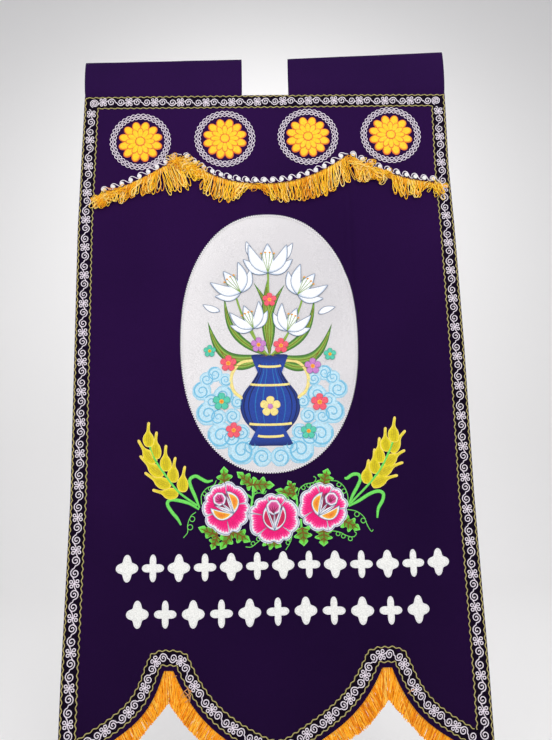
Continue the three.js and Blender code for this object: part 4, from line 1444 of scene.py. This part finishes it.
grass = [
    [(-145, -890), (-153, -870), (-163, -847), (-164, -835), (-153, -829), (-141, -835), (-130, -840),
     (-119, -838)],
    [(-146, -893), (-166, -881), (-188, -875), (-203, -874), (-208, -882), (-200, -896), (-188, -910),
     (-181, -922)],
    [(147, -891), (156, -872), (167, -853), (172, -840), (168, -832), (157, -832), (146, -839), (141, -838)],
    [(147, -893), (167, -883), (189, -870), (206, -865), (216, -870), (214, -883), (205, -898), (202, -916)],
]

# The heart of each rose: where its half-moon petals meet, their tips and how far they swell, then the bud.
hearts = {
    "left": {
        "meet": (13, -8.5), "bud": (-11, 15.5, 11), "wings": [((1, 28), 17.5), ((-26, 1), -18)],
        "dark": [(12, -6), (1, 24), (-8, 25), (-20, 10), (-20, 4)], "core": (-6, 12),
        "strips": [((-19, 5), 6.5), ((0, 22), 5.5), ((-8, 9), 4)],
    },
    "centre": {
        "meet": (1, -19.5), "bud": (0, 19, 12.5), "wings": [((15.5, 21), 13.5), ((-13, 20), -14)],
        "dark": [(1, -17), (-11, 16), (-8, 24), (8, 25), (14, 18)], "core": (0, 9),
        "strips": [((-11.5, 16), 5), ((13, 17), 6.5), ((1, 12), 3.5)],
    },
    "right": {
        "meet": (-8.4, -14), "bud": (14.5, 13.5, 11), "wings": [((0, 25), -17.5), ((27.6, 2.4), 18)],
        "dark": [(-7, -11), (1, 21), (6, 24), (24, 12), (23, 4)], "core": (12, 8),
        "strips": [((22, 4), 6.5), ((1, 20), 5.5), ((9, 8), 4)],
    },
}


def roseSpot(row, angle, share):  # rounded scallops of uneven length round the flower
    waved = angle + row["turn"] + 0.16 * math.sin(2 * angle + 5 * row["turn"]) + 0.07 * math.sin(5 * angle)
    lobe = 1 - rose["scallop"] * (1 - abs(math.sin(rose["scallops"] * waved / 2)) ** 0.8)
    return (row["x"] + row["wide"] / 2 * share * lobe * math.cos(angle),
            row["z"] + row["tall"] / 2 * share * lobe * math.sin(angle))


def raggedRing(row, shares, teeth, shift):  # the ends of long and short stitches
    made = []
    for k in range(2 * teeth):
        angle = math.pi * (k + shift) / teeth
        share = shares[k % 2] + 0.012 * math.sin(7 * angle + row["turn"]) * (k % 2)
        made.append(roseSpot(row, angle, share))
    return made


def moonPetal(meet, tip, swell):  # straight along one side and swollen on the other
    root, run, side = runAndSide(meet, tip)
    swollen = side * swell
    outer = [tuple(root + run * t - swollen * math.sin(math.pi * t) ** 0.7) for t in np.linspace(0, 1, 16)]
    inner = [tuple(root + run * t - swollen * 0.05 * math.sin(math.pi * t)) for t in np.linspace(1, 0, 9)]
    return outer + inner[1:-1]


def shrunk(outline, share):
    centre = np.mean(np.array(outline), axis=0)
    return [tuple(centre + (np.array(spot) - centre) * share) for spot in outline]


def makeHeart(row, work, lines):
    heart = hearts[row["name"]]
    base = face + rose["lift"]
    big = rose["heart"]

    def placed(spot):
        return row["x"] + big * spot[0], row["z"] + big * spot[1]

    meet, core = placed(heart["meet"]), placed(heart["core"])
    addPatch(work, [placed(spot) for spot in heart["dark"]], 0.5, base + 1.5, 5)
    bx, bz, size = heart["bud"]
    size *= big
    for share, lift, slot in ((1.0, 1.7, 0), (0.76, 2.0, 4)):

        def budSpot(angle):
            reach = size * share * (0.93 + 0.09 * abs(math.sin(3.5 * angle + 1)))
            return reach * math.cos(angle), reach * math.sin(angle)

        bud = polar(*placed((bx, bz)), 40, budSpot)
        addPatch(work, bud, 0.6, base + lift, slot)
        if share == 1:
            lines.append(lifted(closed(bud), base + 1.9))
    for lean in (-0.62, -0.2, 0.2, 0.62):
        turn = math.atan2(bz - heart["core"][1], bx - heart["core"][0]) + lean
        spoke = leafSpine(core, beyond(core, turn, size * 1.05), 0.05, count=5)
        addRibbon(work, spoke, [2.6, 2.4, 2.0, 1.5, 0.8], 0.4, base + 2.5, 5)
    for tip, wide in heart["strips"]:
        addPatch(work, leafOutline(meet, placed(tip), wide), 0.6, base + 2.2, 0)
        lines.append([(*meet, base + 2.8), (*placed(tip), base + 2.6)])
    for tip, swell in heart["wings"]:
        whole = moonPetal(meet, placed(tip), swell)
        addPatch(work, whole, 0.7, base + 2.2, 0)
        addPatch(work, shrunk(whole, 0.76), 0.5, base + 2.6, 3)
        lines.append(lifted(closed(whole), base + 2.5))


def makeRose(row):
    work, lines = newWork(), []
    centre = (row["x"], row["z"])
    base = face + rose["lift"]
    outline = [roseSpot(row, a, 1.0) for a in np.linspace(0, 2 * math.pi, 220, endpoint=False)]
    addPatch(work, outline, 0.5, base, 0, 0.4, centre, [(1.0, -1.6, 0.0), *lowRings])
    cord = [roseSpot(row, a, rose["cord"]) for a in np.linspace(0, 2 * math.pi, 200)]
    lines.append(lifted(cord, base + 0.6))
    outer = raggedRing(row, rose["pink"], rose["teeth"], 0.0)
    addPatch(work, outer, 0.5, base + 0.4, 2, 0.9, centre, lowRings)
    inner = raggedRing(row, rose["magenta"], rose["teeth"] + 7, 0.3)
    addPatch(work, inner, 0.6, base + 0.65, 1, 0.3, centre, lowRings)
    for k, degrees in enumerate(row["splits"]):
        angle, bow = math.radians(degrees), 0.16 if k % 2 else -0.16
        split = [roseSpot(row, angle + bow * (0.93 - t), t) for t in np.linspace(0.93, 0.46, 9)]
        addRibbon(work, split, [8.0, 4.6, 3.0, 2.6, 2.3, 2.0, 1.8, 1.5, 0.8], 0.5, base + 1.1, 0)
        lines.append(lifted(split, base + 1.5))
    makeHeart(row, work, lines)
    warm = roseCrimson if row["name"] == "centre" else petalGold
    threads = [roseWhite, roseMagenta, rosePink, warm, roseBud, roseHeart]
    sewOn(makeWork("rose_work_" + row["name"], work, threads), ["rose_" + row["name"]])
    sewOn(makeCords("rose_lines_" + row["name"], lines, roseCord, blueGrey))


# Half of a lobed leaf: share of its length and share of its half width, lobe by lobe.
leafLobes = [
    (0.0, 0.07), (0.02, 0.36), (-0.05, 0.72), (0.0, 1.0), (0.14, 0.84), (0.24, 0.5), (0.31, 0.5),
    (0.36, 0.84), (0.46, 1.04), (0.54, 0.82), (0.58, 0.46), (0.65, 0.42), (0.75, 0.52), (0.84, 0.36),
    (0.92, 0.18), (1.0, 0.0),
]


def addLobedLeaf(work, root, tip, wide):
    turn = math.atan2(tip[1] - root[1], tip[0] - root[0]) + 0.8
    spine = leafSpine(root, tip, 0.03, 0.0, 0.84)
    root, run, side = runAndSide(root, tip)
    half = curvePoints(leafLobes, 46)
    outline = [tuple(root + run * t + side * wide / 2 * w) for t, w in half]
    outline += [tuple(root + run * t - side * wide / 2 * w) for t, w in half[::-1][1:-1]]
    addPatch(work, outline, 0.7, face, 0, turn)
    addPatch(work, leafOutline(root + run * 0.02, root + run * 0.8, wide * 0.62), 0.5, face + 0.35, 3, turn)
    addRibbon(work, spine, [3.6 - 2.4 * k / 13 for k in range(14)], 0.5, face + 0.8, 1)
    for t, reach in ((0.04, 0.36), (0.26, 0.38), (0.5, 0.2)):
        for sign in (-1, 1):
            start = root + run * t
            end = start + run * 0.15 + side * sign * wide * reach
            addRibbon(work, [start, (start + end) / 2, end], [3.0, 2.5, 1.0], 0.4, face + 0.8, 1)


def loopedLine(row):  # a thread with small round loops beside it
    smooth = curvePoints(row["line"], 61)
    stops = [round(60 * t) for t in row["loops"]]
    line = []
    for k, spot in enumerate(smooth):
        line.append(spot)
        if k in stops:
            root, run, side = runAndSide(smooth[k - 1], smooth[k + 1])
            run /= np.linalg.norm(run)
            for a in np.linspace(0, 2 * math.pi, 16)[1:-1]:
                loop = side * row["hand"] * (1 - math.cos(a)) + run * math.sin(a)
                line.append(tuple(np.array(spot) + row["size"] * loop))
    return line


def makeLeaves():
    work = newWork()
    for line in roseStems:
        addRibbon(work, curvePoints(line, 24), 4.2, 0.6, face, 2)
    for root, tip, wide in leaves:
        addLobedLeaf(work, root, tip, wide)
    widths = [min(6.6, 3.4 + 18 * min(k, 39 - k) / 39) for k in range(40)]
    for line in grass:
        addRibbon(work, curvePoints(line, 40), widths, 0.8, face + 0.1, 2)
    sewOn(makeWork("rose_leaves", work, [leafGreen, leafVein, stemGreen, leafOlive]))
    curls = [[(x, z, face + 0.4 + 0.3 * (k % 16) / 16) for k, (x, z) in enumerate(loopedLine(row))]
             for row in tendrils]
    sewOn(makeCords("rose_tendrils", curls, tendrilCord, stemCord))


for row in roses:
    makeRose(row)
makeLeaves()
print("roses made")

# Wheat ears

wheatEars = [
    {
        "name": "left", "top": ((-245, -770), (-247, -721)),
        "inner": [((-231, -794), (-231, -740)), ((-210, -818), (-212, -767)),
                  ((-197, -840), (-193, -791)), ((-178, -859), (-174, -809))],
        "outer": [((-233, -802), (-268, -756)), ((-217, -827), (-264, -787)),
                  ((-202, -848), (-254, -820)), ((-187, -863), (-238, -854))],
        "stem": [(-244, -770), (-232, -798), (-214, -824), (-187, -858), (-149, -886)],
    },
    {
        "name": "right", "top": ((243, -770), (247, -719)),
        "inner": [((228, -788), (227, -740)), ((213, -810), (214, -760)),
                  ((203, -831), (203, -782)), ((185, -850), (190, -803))],
        "outer": [((236, -790), (267, -747)), ((222, -815), (264, -786)),
                  ((207, -834), (259, -810)), ((194, -853), (247, -835))],
        "stem": [(240, -770), (228, -796), (214, -820), (192, -847), (150, -888)],
    },
]
wheat = {"wide": 22, "height": 1.2, "stem": 4.2}
edgeCord = {"radius": 0.75, "step": 2.2, "sides": 5}
veinCord = {"radius": 0.42, "step": 2.2, "sides": 4}
# Half of a grain: share of its length and share of its half width.
grainRows = [
    (0.0, 0.0), (0.02, 0.5), (0.1, 0.8), (0.26, 1.0), (0.44, 0.82), (0.56, 0.44), (0.66, 0.24), (0.8, 0.2),
    (0.95, 0.19), (1.0, 0.06),
]


def addGrain(work, edges, veins, root, tip, lift):
    base = face + 0.1 + lift
    root, run, side = runAndSide(root, tip)

    def spot(t, across):
        bend = 0.04 * math.sin(math.pi * t) * np.linalg.norm(run)
        return tuple(root + run * t + side * (across * wheat["wide"] / 2 + bend))

    rows = curvePoints(grainRows, 28)
    outline = [spot(t, w) for t, w in rows] + [spot(t, -w) for t, w in rows[::-1]][1:-1]
    addPatch(work, outline, wheat["height"], base, 0, math.atan2(run[1], run[0]) + 1.2, spot(0.28, 0.0))
    awn = [spot(t, 0.0) for t in np.linspace(0.58, 1.0, 8)]
    addRibbon(work, awn, [5.2, 4.6, 4.2, 4.0, 3.9, 3.8, 3.6, 2.0], 0.7, base + 0.5, 1)
    edges.append(lifted(closed(outline), base + 0.4))
    for across in (-0.36, 0.0, 0.36):
        vein = [spot(t, across * math.sin(math.pi * min(1, t * 1.7)) ** 0.6)
                for t in np.linspace(0.06, 0.5, 8)]
        veins.append(lifted(vein, base + wheat["height"] * 0.92))


def makeWheat(ear):
    work, edges, veins = newWork(), [], []
    grains = [(*pair, 0.0) for pair in ear["outer"][::-1]] + [(*pair, 0.35) for pair in ear["inner"][::-1]]
    for grain in [*grains, (*ear["top"], 0.5)]:
        addGrain(work, edges, veins, *grain)
    addRibbon(work, curvePoints(ear["stem"], 40), wheat["stem"], 0.9, face + 0.9, 2)
    piece = makeWork("wheat_work_" + ear["name"], work, [wheatYellow, wheatAwn, stemGreen])
    sewOn(piece, ["wheat_" + ear["name"]])
    sewOn(makeCords("wheat_edges_" + ear["name"], edges, edgeCord, wheatEdge))
    sewOn(makeCords("wheat_lines_" + ear["name"], veins, veinCord, wheatLine))


for ear in wheatEars:
    makeWheat(ear)
print("wheat made")

# Two rows of padded white ornaments, clovers and stars by turns

ornamentRows = [
    {"name": "upper", "count": 13, "from": -285, "to": 318, "z": -1002},
    {"name": "lower", "count": 11, "from": -264, "to": 273, "z": -1087},
]
ornament = {"wide": 42, "tall": 50, "height": 1.5}
ornamentCord = {"radius": 0.75, "step": 1.6, "sides": 5}


def ornamentSpot(angle, deep):
    swell = 1 - deep + deep * math.cos(4 * angle)
    return ornament["wide"] / 2 * swell * math.cos(angle), ornament["tall"] / 2 * swell * math.sin(angle)


def makeOrnaments(row):
    work, stitches, covered = newWork(), [], []
    for k, x in enumerate(np.linspace(row["from"], row["to"], row["count"])):
        deep, turn = (0.3, 0.6) if k % 2 else (0.2, -0.4)
        outline = polar(x, row["z"], 64, lambda angle: ornamentSpot(angle, deep))
        addPatch(work, outline, ornament["height"], face, 0, turn, (x, row["z"]))
        stitches.append(lifted(closed(outline), face + 0.5))
        covered.append(f"applique_{row['name']}_{k + 1:02d}")
    sewOn(makeWork("ornaments_" + row["name"], work, [whitePad]), covered)
    sewOn(makeCords("ornament_edges_" + row["name"], stitches, ornamentCord, whiteEdge))


for row in ornamentRows:
    makeOrnaments(row)
print("ornaments made")

for helper in helpers:
    bpy.data.objects.remove(helper, do_unlink=True)

# Floor, light and camera

room = {"floor": -1.66, "front": -4.0, "half": 7.0, "depth": 3.2, "high": 6.5, "bend": 0.9, "light": 0.55}
# Lamps: name, place, target, size and power.
lamps = [
    ("key", (1.3, -2.4, 0.5), (0, 0, -0.7), 1.6, 42), ("fill", (-1.9, -2.1, -0.3), (0, 0, -0.8), 2.2, 30),
    ("top", (0.1, -1.6, 1.3), (0, 0, -0.5), 1.6, 9), ("wash", (0, 1.0, 1.9), (0, 3.2, -0.8), 2.0, 36),
]
photoView = {
    "yaw": 0.939, "pitch": 9.213, "roll": -1.130, "lens": 27.0, "place": (-0.00854, -1.12022, -0.89279),
}


def makeFloor():
    depth, bend = room["depth"], room["bend"]
    profile = [(room["front"], 0.0), (depth - bend, 0.0)]
    profile += [(depth - bend + bend * math.sin(a), bend - bend * math.cos(a))
                for a in np.linspace(0.1, math.pi / 2, 12)]
    profile += [(depth, room["high"])]
    points = [(side * room["half"], y, room["floor"] + z) for y, z in profile for side in (-1, 1)]
    faces = [(2 * k, 2 * k + 1, 2 * k + 3, 2 * k + 2) for k in range(len(profile) - 1)]
    material, tree, shader = newMaterial("floorPaint", 0.9, 0.1)
    shader.inputs["Base Color"].default_value = linear((244, 243, 242))
    floor = meshPiece("studio_floor", points, faces, [material])
    for polygon in floor.data.polygons:
        polygon.use_smooth = True


def addLight(name, place, target, size, power):
    data = bpy.data.lights.new(name, "AREA")
    data.size = size
    data.energy = power
    lamp = bpy.data.objects.new(name, data)
    lamp.location = place
    lamp.rotation_euler = (Vector(target) - Vector(place)).to_track_quat("-Z", "Y").to_euler()
    scene.collection.objects.link(lamp)


def addCamera():
    yaw, pitch, roll = [math.radians(photoView[name]) for name in ("yaw", "pitch", "roll")]
    forward = Vector((math.sin(yaw) * math.cos(pitch), math.cos(yaw) * math.cos(pitch), math.sin(pitch)))
    right = Vector((math.cos(yaw), -math.sin(yaw), 0))
    up = right.cross(forward)
    across = right * math.cos(roll) + up * math.sin(roll)
    upward = up * math.cos(roll) - right * math.sin(roll)
    data = bpy.data.cameras.new("photoCamera")
    data.lens = photoView["lens"]
    data.sensor_width = 36
    camera = bpy.data.objects.new("photoCamera", data)
    turn = Matrix((across, upward, -forward)).transposed().to_4x4()
    camera.matrix_world = Matrix.Translation(photoView["place"]) @ turn
    scene.collection.objects.link(camera)
    scene.camera = camera


def makeWorld():
    world = bpy.data.worlds.new("studio")
    scene.world = world
    world.use_nodes = True
    background = world.node_tree.nodes["Background"]
    background.inputs["Color"].default_value = linear((240, 240, 244))
    background.inputs["Strength"].default_value = room["light"]
    scene.view_settings.view_transform = "Standard"


makeFloor()
for lamp in lamps:
    addLight(*lamp)
makeWorld()
addCamera()
print("room made")
